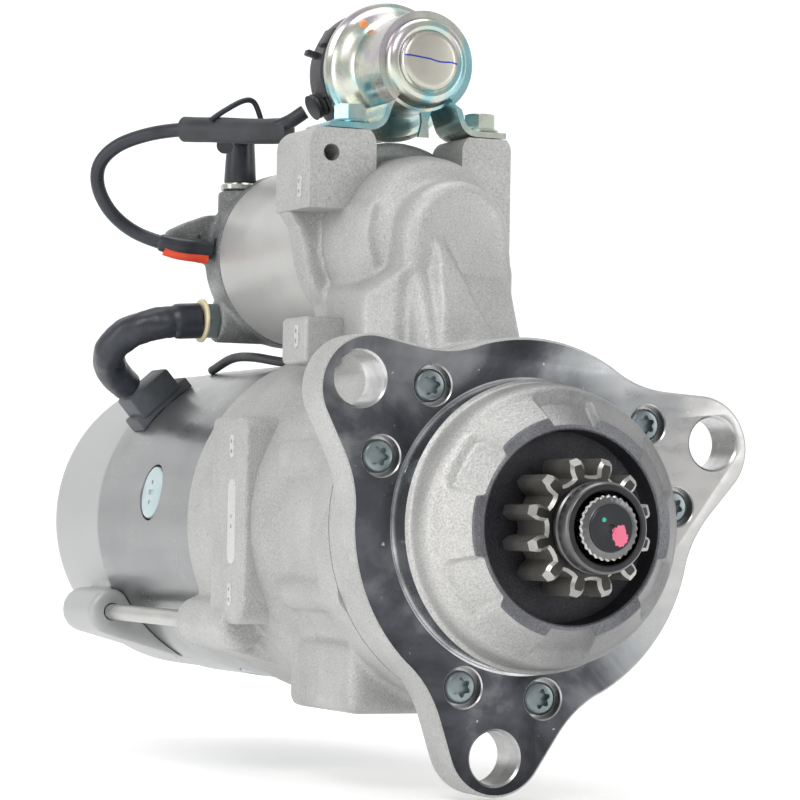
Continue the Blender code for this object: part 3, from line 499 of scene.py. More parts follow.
class Shader:
    """A node material being built: its Principled BSDF, with short ways to add nodes."""

    def __init__(self, name, roughness=0.5, metallic=0.0, specular=0.5, coat=0.0):
        self.material = bpy.data.materials.new(name)
        self.material.use_nodes = True
        self.tree = self.material.node_tree
        self.bsdf = self.tree.nodes["Principled BSDF"]
        self.bsdf.inputs["Roughness"].default_value = roughness
        self.bsdf.inputs["Metallic"].default_value = metallic
        self.bsdf.inputs["Specular IOR Level"].default_value = specular
        self.bsdf.inputs["Coat Weight"].default_value = coat
        self.place = self.tree.nodes.new("ShaderNodeTexCoord").outputs["Object"]
        self.height = None

    def link(self, output, socket):
        self.tree.links.new(output, socket)

    def scaled(self, scale):
        """Object coordinates in metres times a scale on each axis."""
        node = self.tree.nodes.new("ShaderNodeVectorMath")
        node.operation = "MULTIPLY"
        self.link(self.place, node.inputs[0])
        node.inputs[1].default_value = scale
        return node.outputs[0]

    def noise(self, scale, detail=3.0, stretch=(1.0, 1.0, 1.0), roughness=0.55, distortion=0.0):
        node = self.tree.nodes.new("ShaderNodeTexNoise")
        self.link(self.scaled(stretch), node.inputs["Vector"])
        node.inputs["Scale"].default_value = scale
        node.inputs["Detail"].default_value = detail
        node.inputs["Roughness"].default_value = roughness
        node.inputs["Distortion"].default_value = distortion
        return node.outputs["Fac"]

    def ramp(self, value, stops):
        node = self.tree.nodes.new("ShaderNodeValToRGB")
        elements = node.color_ramp.elements
        while len(elements) < len(stops):
            elements.new(0.5)
        for element, (position, color) in zip(elements, stops):
            element.position = position
            element.color = (*color, 1.0) if len(color) == 3 else color
        self.link(value, node.inputs["Fac"])
        return node.outputs["Color"]

    def math(self, operation, first, second):
        node = self.tree.nodes.new("ShaderNodeMath")
        node.operation = operation
        for socket, value in zip(node.inputs, (first, second)):
            if isinstance(value, (int, float)):
                socket.default_value = value
            else:
                self.link(value, socket)
        return node.outputs[0]

    def mix(self, factor, first, second, blend="MIX"):
        node = self.tree.nodes.new("ShaderNodeMix")
        node.data_type = "RGBA"
        node.blend_type = blend
        for socket, value in zip((node.inputs[0], node.inputs[6], node.inputs[7]),
                                 (factor, first, second)):
            if isinstance(value, (int, float)):
                socket.default_value = value
            elif isinstance(value, tuple):
                socket.default_value = (*value, 1.0)
            else:
                self.link(value, socket)
        return node.outputs[2]

    def remap(self, value, low, high, to_low, to_high):
        node = self.tree.nodes.new("ShaderNodeMapRange")
        self.link(value, node.inputs["Value"])
        for key, number in (("From Min", low), ("From Max", high), ("To Min", to_low),
                            ("To Max", to_high)):
            node.inputs[key].default_value = number
        return node.outputs["Result"]

    def axis(self, name):
        node = self.tree.nodes.new("ShaderNodeSeparateXYZ")
        self.link(self.place, node.inputs[0])
        return node.outputs[name]

    def color(self, output):
        self.link(output, self.bsdf.inputs["Base Color"])

    def patchy(self, value, dark, light, low=0.3, high=0.7):
        """Dark where value is at or under low, light where it is at or over high."""
        return self.mix(self.remap(value, low, high, 0.0, 1.0), dark, light)

    def roughness(self, value, at_low, at_high):
        """Roughness that follows a noise from its low parts to its high ones."""
        self.link(self.remap(value, 0.3, 0.7, at_low, at_high), self.bsdf.inputs["Roughness"])

    def bands(self, scale, distortion=0.0):
        """Fine bands across the Y axis."""
        node = self.tree.nodes.new("ShaderNodeTexWave")
        node.bands_direction = "Y"
        self.link(self.place, node.inputs["Vector"])
        node.inputs["Scale"].default_value = scale
        node.inputs["Distortion"].default_value = distortion
        return node.outputs["Fac"]

    def bump(self, height, strength, distance):
        node = self.tree.nodes.new("ShaderNodeBump")
        node.inputs["Strength"].default_value = strength
        node.inputs["Distance"].default_value = distance
        self.link(height, node.inputs["Height"])
        if self.height is not None:
            self.link(self.height, node.inputs["Normal"])
        self.height = node.outputs["Normal"]
        self.link(self.height, self.bsdf.inputs["Normal"])

    def grain(self, scale, strength, distance, detail=3.0):
        """A bump made of plain noise."""
        self.bump(self.noise(scale, detail), strength, distance)

    def glow(self, strength):
        self.bsdf.inputs["Emission Color"].default_value = (1.0, 1.0, 1.0, 1.0)
        self.bsdf.inputs["Emission Strength"].default_value = strength


def cast_metal(name, light, dark, roughness=0.52, metallic=0.45, grain=0.35):
    """Die-cast aluminium: a fine grain over soft light and dark patches."""
    shader = Shader(name, roughness, metallic)
    patches = shader.noise(38.0, 4.0)
    specks = shader.noise(1700.0, 2.0)
    tone = shader.patchy(patches, dark, light, low=0.32)
    speckled = shader.mix(shader.remap(specks, 0.56, 0.72, 0.0, 0.55), tone,
                          tuple(0.5 * c for c in dark))
    shader.color(shader.mix(shader.remap(specks, 0.44, 0.32, 0.0, 0.4), speckled,
                            tuple(min(1.0, 1.45 * c) for c in light)))
    shader.roughness(patches, roughness + 0.06, roughness - 0.06)
    shader.grain(240.0, 0.10, 0.0006)
    shader.grain(1300.0, min(1.0, 1.6 * grain), 0.0003)
    return shader.material


def cast_bell():
    """The nose's casting with painted light and shade: bright towards -X, where the light falls, and
    darker from its middle on.
    """
    shader = Shader("cast_bell", 0.45, 0.6)
    specks = shader.noise(1700.0, 2.0)
    patches = shader.noise(45.0, 4.0)
    # painted shade: the colour runs from light at -X to dark towards +X, standing in for light
    # falling from the left
    across = shader.remap(shader.axis("X"), -0.040, 0.004, 0.0, 0.85)
    painted_light_and_patches = shader.math("ADD", across, shader.remap(patches, 0.3, 0.7, -0.15, 0.15))
    tone = shader.ramp(painted_light_and_patches, (
        (0.0, (0.56, 0.555, 0.54)), (0.4, (0.45, 0.45, 0.44)), (0.9, (0.22, 0.22, 0.222))))
    shader.color(shader.mix(shader.remap(specks, 0.38, 0.72, 0.0, 0.45), tone,
                            (0.13, 0.13, 0.135)))
    shader.grain(900.0, 0.6, 0.0004)
    return shader.material


def machined_face():
    """The flange's faced front: satin, with painted reflection that makes it light on the right and
    upward and dark on the left and low down, and dark oily patches.
    """
    shader = Shader("machined_face", 0.3, 1.0)
    patches = shader.noise(26.0, 5.0, distortion=0.6)
    streaks = shader.noise(60.0, 3.0, stretch=(1.0, 1.0, 3.0))
    # painted reflection: the colour lightens towards +X and upward, standing in for the surroundings
    # reflected in the faced front
    across = shader.remap(shader.axis("X"), 0.0, 0.06, 0.0, 0.6)
    painted_light_upward = shader.remap(shader.axis("Z"), -0.08, 0.02, -0.12, 0.08)
    painted_light_and_patches = shader.math("ADD", shader.math("ADD", across, painted_light_upward),
                         shader.remap(patches, 0.35, 0.68, 0.0, 0.42))
    tone = shader.ramp(painted_light_and_patches, (
        (0.0, (0.032, 0.033, 0.037)), (0.22, (0.085, 0.088, 0.10)), (0.5, (0.29, 0.30, 0.31)),
        (0.95, (0.43, 0.425, 0.415))))
    nicks = shader.noise(420.0, 2.0)
    shader.color(shader.mix(shader.remap(nicks, 0.70, 0.76, 0.0, 0.6), tone,
                            (0.72, 0.74, 0.76)))
    shader.roughness(streaks, 0.22, 0.42)
    shader.grain(900.0, 0.12, 0.0001)
    return shader.material


def turned_metal(name, color, roughness):
    """Turned steel or aluminium, with fine rings across the Y axis."""
    shader = Shader(name, roughness, 1.0)
    rings = shader.bands(TURNING_SCALE, 0.6)
    wear = shader.noise(90.0, 4.0)
    dark = tuple(0.6 * c for c in color)
    shader.color(shader.patchy(wear, dark, color))
    shader.roughness(wear, roughness + 0.08, roughness - 0.06)
    shader.bump(rings, 0.12, 0.00005)
    return shader.material


def zinc_plate():
    """Zinc plating with the faint blue, green and yellow of its passivated film."""
    shader = Shader("zinc_plate", 0.22, 1.0, coat=0.15)
    film = shader.noise(34.0, 3.0, distortion=1.2)
    shader.color(shader.ramp(film, (
        (0.25, (0.20, 0.46, 0.50)), (0.42, (0.32, 0.54, 0.57)), (0.55, (0.56, 0.58, 0.50)),
        (0.68, (0.48, 0.44, 0.47)), (0.85, (0.20, 0.44, 0.47)))))
    shader.roughness(shader.noise(120.0, 3.0), 0.17, 0.34)
    shader.grain(700.0, 0.08, 0.0001)
    return shader.material


def relay_face():
    """The relay's front disc: satin zinc with a hand-drawn line of blue ink across it."""
    shader = Shader("relay_face", 0.32, 0.9, coat=0.1)
    film = shader.noise(60.0, 4.0)
    metal = shader.patchy(film, (0.46, 0.45, 0.39), (0.60, 0.58, 0.52))
    wander = shader.math("MULTIPLY", shader.noise(90.0, 1.0, stretch=(1.0, 0.0, 0.0)), 0.004)
    slope = shader.math("MULTIPLY", shader.axis("X"), -0.10)
    level = shader.math("ADD", shader.math("ADD", wander, slope), INK_HEIGHT)
    gap = shader.math("ABSOLUTE", shader.math("SUBTRACT", shader.axis("Z"), level), 0.0)
    shader.color(shader.mix(shader.math("LESS_THAN", gap, 0.00028), metal, (0.04, 0.05, 0.42)))
    shader.grain(900.0, 0.1, 0.0001)
    return shader.material


def dark_steel(name, color, roughness, metallic=1.0):
    """Hardened, oiled steel with brown and grey patches."""
    shader = Shader(name, roughness, metallic)
    patches = shader.noise(70.0, 4.0)
    light = tuple(1.9 * c for c in color)
    shader.color(shader.patchy(patches, color, light, high=0.72))
    shader.roughness(patches, roughness + 0.1, roughness - 0.05)
    shader.grain(800.0, 0.15, 0.00012)
    return shader.material


def frame_paint():
    """The field frame's grey coat, rolled steel with soft streaks round the tube."""
    shader = Shader("frame_paint", 0.3, 0.8, coat=0.1)
    streaks = shader.noise(30.0, 4.0, stretch=(1.0, 0.12, 1.0))
    shader.color(shader.patchy(streaks, (0.20, 0.205, 0.21), (0.31, 0.315, 0.32)))
    shader.roughness(shader.noise(60.0, 3.0), 0.26, 0.34)
    return shader.material


def plain_grey(name, light, dark, roughness=0.45, metallic=0.3):
    """A smooth painted or plated grey skin with faint handling marks."""
    shader = Shader(name, roughness, metallic, coat=0.05)
    marks = shader.noise(55.0, 5.0)
    specks = shader.noise(620.0, 2.0)
    tone = shader.patchy(marks, dark, light)
    shader.color(shader.mix(shader.remap(specks, 0.74, 0.8, 0.0, 0.5), tone,
                            tuple(0.4 * c for c in dark)))
    shader.roughness(marks, roughness - 0.07, roughness + 0.07)
    shader.grain(900.0, 0.08, 0.00012)
    return shader.material


def moulded(name, color, roughness=0.5, coarse=0.0):
    """Moulded plastic or rubber with a faint mottle and a fine skin."""
    shader = Shader(name, roughness, 0.0, specular=0.45)
    mottle = shader.noise(80.0, 4.0)
    light = tuple(min(1.0, 1.7 * c + 0.008) for c in color)
    shader.color(shader.patchy(mottle, color, light, 0.35, 0.72))
    shader.roughness(mottle, roughness - 0.1, roughness + 0.1)
    shader.grain(1000.0, 0.15, 0.00015)
    if coarse:
        shader.bump(shader.noise(170.0, 3.0, stretch=(1.0, 0.6, 1.0)), coarse, 0.0012)
    return shader.material


def copper_metal():
    """Copper with brown tarnish in patches."""
    shader = Shader("copper", 0.3, 1.0)
    tarnish = shader.noise(110.0, 4.0)
    shader.color(shader.patchy(tarnish, (0.396, 0.198, 0.11), (0.72, 0.36, 0.20)))
    shader.roughness(tarnish, 0.4, 0.22)
    shader.grain(900.0, 0.1, 0.0001, 2.0)
    return shader.material


def laminated_core():
    """Stacked steel sheets: fine dark lines across the shaft."""
    shader = Shader("laminations", 0.45, 0.9)
    sheets = shader.bands(320.0)
    shader.color(shader.mix(sheets, (0.09, 0.09, 0.10), (0.24, 0.24, 0.25)))
    shader.bump(sheets, 0.3, 0.0001)
    return shader.material


def shaft_end_paint():
    """The blackened end of the shaft with an inspector's dabs of pink and green paint."""
    shader = Shader("shaft_end_paint", 0.38, 0.2)
    wobble = shader.noise(420.0, 2.0)

    def dab(x, z, radius, rough):
        dx = shader.math("SUBTRACT", shader.axis("X"), x)
        dz = shader.math("SUBTRACT", shader.axis("Z"), z)
        square = shader.math("ADD", shader.math("MULTIPLY", dx, dx),
                             shader.math("MULTIPLY", dz, dz))
        reach = shader.math("SQRT", square, 0.0)
        edge = shader.math("ADD", reach, shader.remap(wobble, 0.3, 0.7, -rough, rough))
        return shader.math("LESS_THAN", edge, radius)

    black = (0.012, 0.013, 0.016)
    tone = shader.mix(dab(0.0028, -0.0022, 0.0024, 0.0011), black, (0.75, 0.16, 0.26))
    shader.color(shader.mix(dab(-0.0026, 0.0024, 0.0007, 0.0002), tone, (0.02, 0.42, 0.30)))
    shader.grain(700.0, 0.12, 0.0001, 2.0)
    return shader.material


def make_materials():
    light = (0.47, 0.47, 0.46)
    return {
        "cast": cast_metal("cast_aluminium", light, (0.385, 0.385, 0.378)),
        "cast_grain": cast_metal("cast_aluminium_grainy", light, (0.36, 0.36, 0.352), 0.6, 0.4, 0.8),
        "bell": cast_bell(),
        # painted shade: the nose's front rim face is coloured dark because the light falls from the
        # top and sides, not on its front
        "rim": cast_metal("cast_rim_painted_shade", (0.20, 0.205, 0.22), (0.11, 0.11, 0.12), 0.55, 0.6, 0.9),
        "cavity": cast_metal("cast_cavity_dark", (0.065, 0.065, 0.075), (0.035, 0.035, 0.04),
                             0.5, 0.5, 0.7),
        "face": machined_face(),
        "pilot": turned_metal("machined_pilot", (0.74, 0.75, 0.76), 0.2),
        "bored": turned_metal("machined_bore", (0.66, 0.66, 0.66), 0.28),
        "steel": turned_metal("turned_steel", (0.45, 0.46, 0.48), 0.28),
        "bright": turned_metal("ground_steel", (0.60, 0.60, 0.585), 0.24),
        "ring": turned_metal("stop_ring_steel", (0.19, 0.19, 0.193), 0.3),
        "satin_dark": turned_metal("satin_dark_steel", (0.06, 0.06, 0.064), 0.34),
        "tooth": dark_steel("oiled_tooth_steel", (0.125, 0.12, 0.11), 0.32, 0.6),
        "tooth_end": turned_metal("dark_tooth_end", (0.085, 0.083, 0.08), 0.36),
        "chamfer": turned_metal("bright_chamfer", (0.46, 0.45, 0.43), 0.3),
        "black_steel": dark_steel("black_steel", (0.022, 0.022, 0.024), 0.42),
        "shaft_end": shaft_end_paint(),
        "zinc": zinc_plate(),
        "zinc_screw": plain_grey("zinc_screw", (0.30, 0.35, 0.36), (0.16, 0.19, 0.20), 0.34, 1.0),
        "bolt": plain_grey("bolt_grey", (0.50, 0.50, 0.48), (0.38, 0.38, 0.37), 0.32, 0.8),
        "pole_screw": plain_grey("pole_screw_teal", (0.56, 0.66, 0.67), (0.44, 0.55, 0.57), 0.4, 0.5),
        "frame": frame_paint(),
        "case": plain_grey("solenoid_case_grey", (0.51, 0.51, 0.495), (0.44, 0.44, 0.43)),
        "end_cap": plain_grey("end_frame_grey", (0.42, 0.425, 0.425), (0.38, 0.385, 0.385)),
        "cap": cast_metal("solenoid_cap_grey", (0.34, 0.35, 0.35), (0.09, 0.092, 0.096),
                          0.5, 0.35, 0.5),
        "plastic": moulded("black_plastic", (0.016, 0.017, 0.020), 0.42),
        "rubber": moulded("black_rubber", (0.020, 0.022, 0.026), 0.5),
        "sleeve": moulded("shrink_sleeve", (0.017, 0.020, 0.027), 0.34, 0.25),
        "loom": moulded("lead_jacket", (0.014, 0.017, 0.023), 0.36),
        "grommet": moulded("grommet_rubber", (0.050, 0.055, 0.062), 0.55),
        "cast_bright": cast_metal("cast_bright", (0.62, 0.62, 0.61), (0.55, 0.55, 0.54), 0.4, 0.5),
        "relay_face": relay_face(),
        "orange": moulded("orange_dot", (0.78, 0.22, 0.07), 0.4),
        "cream_edge": plain_grey("strap_edge", (0.62, 0.61, 0.52), (0.50, 0.49, 0.42), 0.35, 0.6),
        "washer": moulded("cream_washer", (0.52, 0.46, 0.30), 0.5),
        "red": moulded("red_seal", (0.62, 0.055, 0.02), 0.45),
        "copper": copper_metal(),
        "laminations": laminated_core(),
        "carbon": moulded("carbon_brush", (0.035, 0.032, 0.030), 0.65),
    }


# ---------------------------------------------------------------- nose


def ear_outline():
    """The flange's outline: a disc with three ears, whose flanks run into it in a hollow curve."""
    flank = math.radians(EAR_FLANK_ANGLE)
    arc_end = math.pi / 2.0 - flank
    tangent = (EAR_TIP_CENTRE_R + EAR_TIP_R * math.cos(arc_end), EAR_TIP_R * math.sin(arc_end))
    along = (-math.cos(flank), math.sin(flank))
    near = (tangent[0] + along[0] * FLANK_BLEND, tangent[1] + along[1] * FLANK_BLEND)
    b = tangent[0] * along[0] + tangent[1] * along[1]
    c = tangent[0] ** 2 + tangent[1] ** 2 - FLANGE_DISC_R ** 2
    meet = -b - math.sqrt(b * b - c)
    corner = (tangent[0] + along[0] * meet, tangent[1] + along[1] * meet)
    far_angle = math.atan2(corner[1], corner[0]) + math.radians(DISC_BLEND_ANGLE)
    far = (FLANGE_DISC_R * math.cos(far_angle), FLANGE_DISC_R * math.sin(far_angle))
    local = []
    for step in range(BLEND_STEPS + 1):
        t = step / BLEND_STEPS
        local.append(tuple(
            (1 - t) ** 2 * far[k] + 2 * t * (1 - t) * corner[k] + t * t * near[k] for k in (0, 1)
        ))
    for step in range(BLEND_STEPS + 1):
        angle = arc_end * (1.0 - step / BLEND_STEPS)
        local.append((EAR_TIP_CENTRE_R + EAR_TIP_R * math.cos(angle),
                      EAR_TIP_R * math.sin(angle)))
    half = local + [(u, -w) for u, w in reversed(local[:-1])]
    disc_end = 2.0 * math.pi / len(EAR_ANGLES) - far_angle
    points = []
    for ear_angle in EAR_ANGLES:
        turn = math.radians(ear_angle)
        for u, w in reversed(half):
            points.append((u * math.cos(turn) - w * math.sin(turn),
                           u * math.sin(turn) + w * math.cos(turn)))
        for step in range(1, DISC_STEPS):
            angle = turn + far_angle + (disc_end - far_angle) * step / DISC_STEPS
            points.append((FLANGE_DISC_R * math.cos(angle), FLANGE_DISC_R * math.sin(angle)))
    return points


def screw_places():
    for ear_angle in EAR_ANGLES:
        for side in (-1.0, 1.0):
            yield polar(SCREW_CIRCLE_R, ear_angle + side * SCREW_OFFSET_ANGLE)


def pocket_share(degrees, along):
    """1 inside one of the nose's six pockets, 0 on a lobe, with a soft wall between."""
    nearest = min(abs(angle_between(degrees, 30.0 + 60.0 * index)) for index in range(6))
    rounding = max(0.0, 1.0 - along / POCKET_END_ROUNDING)
    half = POCKET_HALF_ANGLE * math.sqrt(1.0 - 0.7 * rounding ** 2)
    return 1.0 - smoothstep(half - POCKET_WALL, half + POCKET_WALL, nearest)


def bell_shape(radius, y, degrees):
    """Sinks the bell's cone into the pockets, down to the narrower rim between the lobes."""
    if radius < POCKET_RIM_R or y > POCKET_START_Y:
        return radius, y
    along = (POCKET_START_Y - y) / (POCKET_START_Y - NOSE_FRONT_Y)
    depth = POCKET_DEPTH + (LOBE_R - POCKET_RIM_R - POCKET_DEPTH) * along
    sunk = smoothstep(0.0, 0.14, along)
    return radius - depth * sunk * pocket_share(degrees, along), y


def hole_cutter(radius, y0, y1, place, chamfer=0.7, segments=48):
    """A through hole with a chamfer at its front mouth, y0."""
    return lathe([(0, y0 - 2), (radius + chamfer + 2, y0 - 2), (radius, y0 + chamfer),
                  (radius, y1), (0, y1)], segments, place)


def near_any(x, z, places, reach):
    return any(math.hypot(x - px, z - pz) < reach for px, pz in places)


def nose_bell():
    """The bell in front of the flange: a cone with pockets, a round shoulder and the pilot."""
    cone = [(LOBE_R + (CONE_REAR_R - LOBE_R) * t,
             NOSE_FRONT_Y + NOSE_EDGE + (CONE_LENGTH - NOSE_EDGE) * t)
            for t in [step / CONE_STEPS for step in range(CONE_STEPS + 1)]]
    shoulder = [(42.4, -20.9), (43.3, -19.4), (43.9, -17.6), (44.3, -15.4), (44.5, -13.0),
                (44.6, -10.4), (44.9, -9.6), (45.4, -9.2), (PILOT_R, -PILOT_LENGTH)]
    return lathe([(0, NOSE_FRONT_Y), (LOBE_R - 0.6, NOSE_FRONT_Y)] + cone + shoulder
                 + [(PILOT_R, 2.0), (0, 2.0)], 360, shape=bell_shape)


def nose_hollow():
    """The room round the pinion, the shaft's bore and the clutch's chamber behind it."""
    return lathe([
        (0, NOSE_FRONT_Y - 1.0), (NOSE_MOUTH_R + 1.5, NOSE_FRONT_Y - 1.0),
        (NOSE_MOUTH_R, NOSE_FRONT_Y + 0.5), (NOSE_MOUTH_R, -26.0), (29.8, -24.4), (29.3, -22.8),
        (28.2, -21.9), (26.4, NOSE_FLOOR_Y), (13.1, NOSE_FLOOR_Y), (12.5, -20.9), (12.5, -17.5),
        (20.0, -17.5), (20.0, -3.0), (33.0, -3.0), (39.0, 3.0), (39.0, DISC_THICKNESS + 1.0),
        (0, DISC_THICKNESS + 1.0),
    ], FINE)


def nose_holes(ears, screws):
    """The ears' chamfered holes and the screws' counterbores, as one cutter."""
    cutters = [hole_cutter(EAR_HOLE_R, 0.0, 25.0, place) for place in ears]
    for place in screws:
        cutters.append(lathe([
            (0, -2), (COUNTERBORE_R + 2.4, -2), (COUNTERBORE_R, 0.4),
            (COUNTERBORE_R, COUNTERBORE_DEPTH), (3.5, COUNTERBORE_DEPTH), (3.5, 25), (0, 25),
        ], 40, place))
    return merged(cutters)


def nose_housing(materials):
    flange = prism(ear_outline(), 0.0, EAR_THICKNESS)
    soften(flange, 0.8)
    bell = nose_bell()
    disc = cylinder(FLANGE_DISC_R - 0.4, 4.0, DISC_THICKNESS, segments=FINE)
    solid = cut(join(flange, disc, bell), nose_hollow())
    groove = lathe([(PILOT_R - 0.15, -0.5), (PILOT_R + 0.9, -0.5), (PILOT_R + 0.9, 0.55),
                    (PILOT_R - 0.15, 0.55)], FINE)
    ears = [polar(EAR_CIRCLE_R, angle) for angle in EAR_ANGLES]
    screws = list(screw_places())
    solid = cut(solid, groove, nose_holes(ears, screws))

    def choose(centre, normal):
        radius = math.hypot(centre.x, centre.z)
        if near_any(centre.x, centre.z, ears, EAR_HOLE_R + 0.72) and centre.y > 0.02:
            return 5
        if near_any(centre.x, centre.z, screws, COUNTERBORE_R + 0.42) and centre.y > 0.02:
            return 5
        if abs(centre.y) < 0.1 and normal.y < -0.97:
            return 1
        if -PILOT_LENGTH - 0.1 < centre.y < 0.7 and abs(radius - PILOT_R) < 0.9:
            return 2
        # painted shade: the front rim face takes the dark rim colour
        if centre.y < NOSE_FRONT_Y + 0.3 and radius > NOSE_MOUTH_R:
            return 3
        if radius < NOSE_MOUTH_R + 0.4 and centre.y < -18.0:
            return 4
        return 6 if centre.y < -PILOT_LENGTH else 0

    names = ("cast", "face", "pilot", "rim", "cavity", "bored", "bell")
    make_piece("nose_casting", solid, [materials[n] for n in names], "root",
               ["nose_housing"], choose)


def star_outline(radius, depth, lobes=6, steps=48):
    return [polar(radius + depth * math.cos(2.0 * math.pi * lobes * step / steps),
                  360.0 * step / steps) for step in range(steps)]


def nose_screws(materials):
    head_y = 1.4
    for number, place in enumerate(screw_places(), 1):
        head = lathe([
            (0, head_y), (4.1, head_y), (4.7, head_y + 0.25), (5.2, head_y + 0.9),
            (5.2, COUNTERBORE_DEPTH - 0.3), (2.9, COUNTERBORE_DEPTH - 0.3), (2.9, 33.0), (0, 33.0),
        ], 40, place)
        turn = turned_about_y(17.0 * number, (place[0], 0.0, place[1]))
        recess = prism(star_outline(2.75, 0.5), 0.0, head_y + 2.2, turn)
        make_piece(f"torx_screw_{number}", cut(head, recess), [materials["zinc_screw"]], "root",
                   [f"nose_screw_{number}"])


# ---------------------------------------------------------------- pinion and shaft end


def gear_outline(teeth, module, phase, root_r, tip_r, thickness, pressure_angle, flank_steps=7):
    """A gear's (x, z) outline with involute flanks and a tooth centred on phase, in degrees."""
    pitch_r = teeth * module / 2.0
    alpha = math.radians(pressure_angle)
    base_r = pitch_r * math.cos(alpha)
    involute_at_pitch = math.tan(alpha) - alpha

    def half_angle(radius):
        local = math.acos(min(1.0, base_r / radius))
        return thickness / (2.0 * pitch_r) + involute_at_pitch - (math.tan(local) - local)

    radii = [root_r + (tip_r - root_r) * step / flank_steps for step in range(flank_steps + 1)]
    gap_half = math.pi / teeth - half_angle(root_r)
    points = []
    for tooth in range(teeth):
        centre = math.radians(phase) + 2.0 * math.pi * tooth / teeth
        flank = [(radius, half_angle(radius)) for radius in radii]
        foot = [(root_r - 0.35, half_angle(root_r) + 0.45 * gap_half)]
        rising = foot + flank
        for radius, half in rising:
            points.append((radius * math.cos(centre - half), radius * math.sin(centre - half)))
        for radius, half in reversed(rising):
            points.append((radius * math.cos(centre + half), radius * math.sin(centre + half)))
    return points


def pinion(materials):
    pitch_r = PINION_TEETH * PINION_MODULE / 2.0
    tip_r = pitch_r + 2.35
    outline = gear_outline(
        PINION_TEETH, PINION_MODULE, PINION_PHASE, pitch_r - 2.95, tip_r,
        math.pi * PINION_MODULE / 2.0 - 0.3, 20.0)
    teeth = prism(outline, PINION_FRONT_Y, PINION_REAR_Y)
    front = [e for e in teeth.edges if all(v.co.y < PINION_FRONT_Y + 0.01 for v in e.verts)]
    bmesh.ops.bevel(teeth, geom=front, offset=1.0, segments=1, affect="EDGES")
    lead_in = lathe([
        (tip_r - 2.7, PINION_FRONT_Y - 1.0), (tip_r + 3, PINION_FRONT_Y - 1.0),
        (tip_r + 3, PINION_FRONT_Y + 4.0), (tip_r + 0.3, PINION_FRONT_Y + 2.6),
        (tip_r - 2.1, PINION_FRONT_Y - 0.2),
    ], FINE)
    hub = cylinder(14.5, PINION_REAR_Y - 2, -22.3, segments=MEDIUM, edge=0.3)
    bore = cylinder(SHAFT_R + 0.3, -60, 0, segments=MEDIUM)
    solid = cut(join(cut(teeth, lead_in), hub), bore)

    def choose(centre, normal):
        if normal.y < -0.97:
            return 2
        return 1 if normal.y < -0.2 and centre.y < PINION_FRONT_Y + 3.2 else 0

    make_piece("pinion_gear", solid, [materials[n] for n in ("tooth", "chamfer", "tooth_end")],
               "pinion_shaft", ["pinion"], choose, angle=28.0)


def pinion_stop(materials):
    solid = lathe([
        (SHAFT_R + 0.3, -44.4), (13.5, -44.4), (13.9, -44.8), (13.9, -46.3), (13.6, -46.6),
        (13.2, -46.9), (13.2, -47.3), (13.6, -47.6), (13.9, -47.9), (13.9, -52.2), (13.6, -52.9),
        (13.1, -53.4), (12.6, -53.5), (11.6, -53.5), (11.2, -53.2), (11.2, -46.6),
        (SHAFT_R + 0.3, -46.6),
    ], FINE)

    def choose(centre, normal):
        radius = math.hypot(centre.x, centre.z)
        if radius < 11.4:
            return 2
        return 0 if radius > 13.0 else 1

    make_piece("stop_ring", solid, [materials[n] for n in ("ring", "satin_dark", "black_steel")],
               "pinion_shaft", ["pinion_stop"], choose)


def shaft_shape(radius, y, degrees):
    """Fine serrations round the shaft's front end."""
    if y < -54.9 or y > -46.5 or radius < 8.8:
        return radius, y
    tooth = math.cos(math.radians(degrees * SHAFT_END_TEETH))
    return radius + 0.28 * max(-0.6, min(0.6, 1.6 * tooth)) - 0.1, y


def output_shaft(materials):
    solid = lathe([
        (0, -55.2), (0.9, -55.3), (1.3, -55.9), (1.9, -56.0), (6.9, -56.0), (7.25, -55.7),
        (7.35, -55.2), (7.6, -55.0), (9.4, -54.6), (9.9, -54.0), (9.9, -50.0), (9.9, -47.0),
        (9.3, -46.2), (SHAFT_R, -45.6), (SHAFT_R, 44.0), (16.8, 46.0), (16.8, 57.4), (0, 57.4),
    ], SHAFT_END_TEETH * 8, shape=shaft_shape)

    def choose(centre, normal):
        radius = math.hypot(centre.x, centre.z)
        if centre.y < -55.15 and radius < 7.3:
            return 1
        return 2 if centre.y < -54.5 else 0

    make_piece("drive_shaft", solid, [materials[n] for n in ("bright", "shaft_end", "ring")],
               "pinion_shaft", ["output_shaft"], choose)


# ---------------------------------------------------------------- lever housing


def rounded_outline(x_range, z_range, radii, steps=6):
    """An (x, z) rectangle with a radius for each corner: low left, low right, top right, left."""
    corners = ((0, 0, 180.0), (1, 0, 270.0), (1, 1, 0.0), (0, 1, 90.0))
    points = []
    for (side, level, start), radius in zip(corners, radii):
        x = x_range[side] + (radius if side == 0 else -radius)
        z = z_range[level] + (radius if level == 0 else -radius)
        for step in range(steps + 1):
            dx, dz = polar(radius, start + 90.0 * step / steps)
            points.append((x + dx, z + dz))
    return points


def side_prism(outline, low_x, high_x):
    """Extrude a (y, z) outline along X."""
    turn = Matrix(((0, 1, 0, 0), (1, 0, 0, 0), (0, 0, 1, 0), (0, 0, 0, 1)))
    bm = prism(outline, low_x, high_x, turn)
    bmesh.ops.recalc_face_normals(bm, faces=bm.faces)
    return bm


def tombstone(half_width, bottom, top, steps=24):
    """An upright outline with a half-round head."""
    points = [(-half_width, bottom), (half_width, bottom)]
    for step in range(steps + 1):
        x, z = polar(half_width, 180.0 * step / steps)
        points.append((x, top - half_width + z))
    return points


def lug_webs(low, high):
    """The two webs that run from the lugs into the round body, opposite each other."""
    turned = [(-x, -z) for x, z in LUG_WEB]
    return [prism(outline, low, high) for outline in (LUG_WEB, turned)]


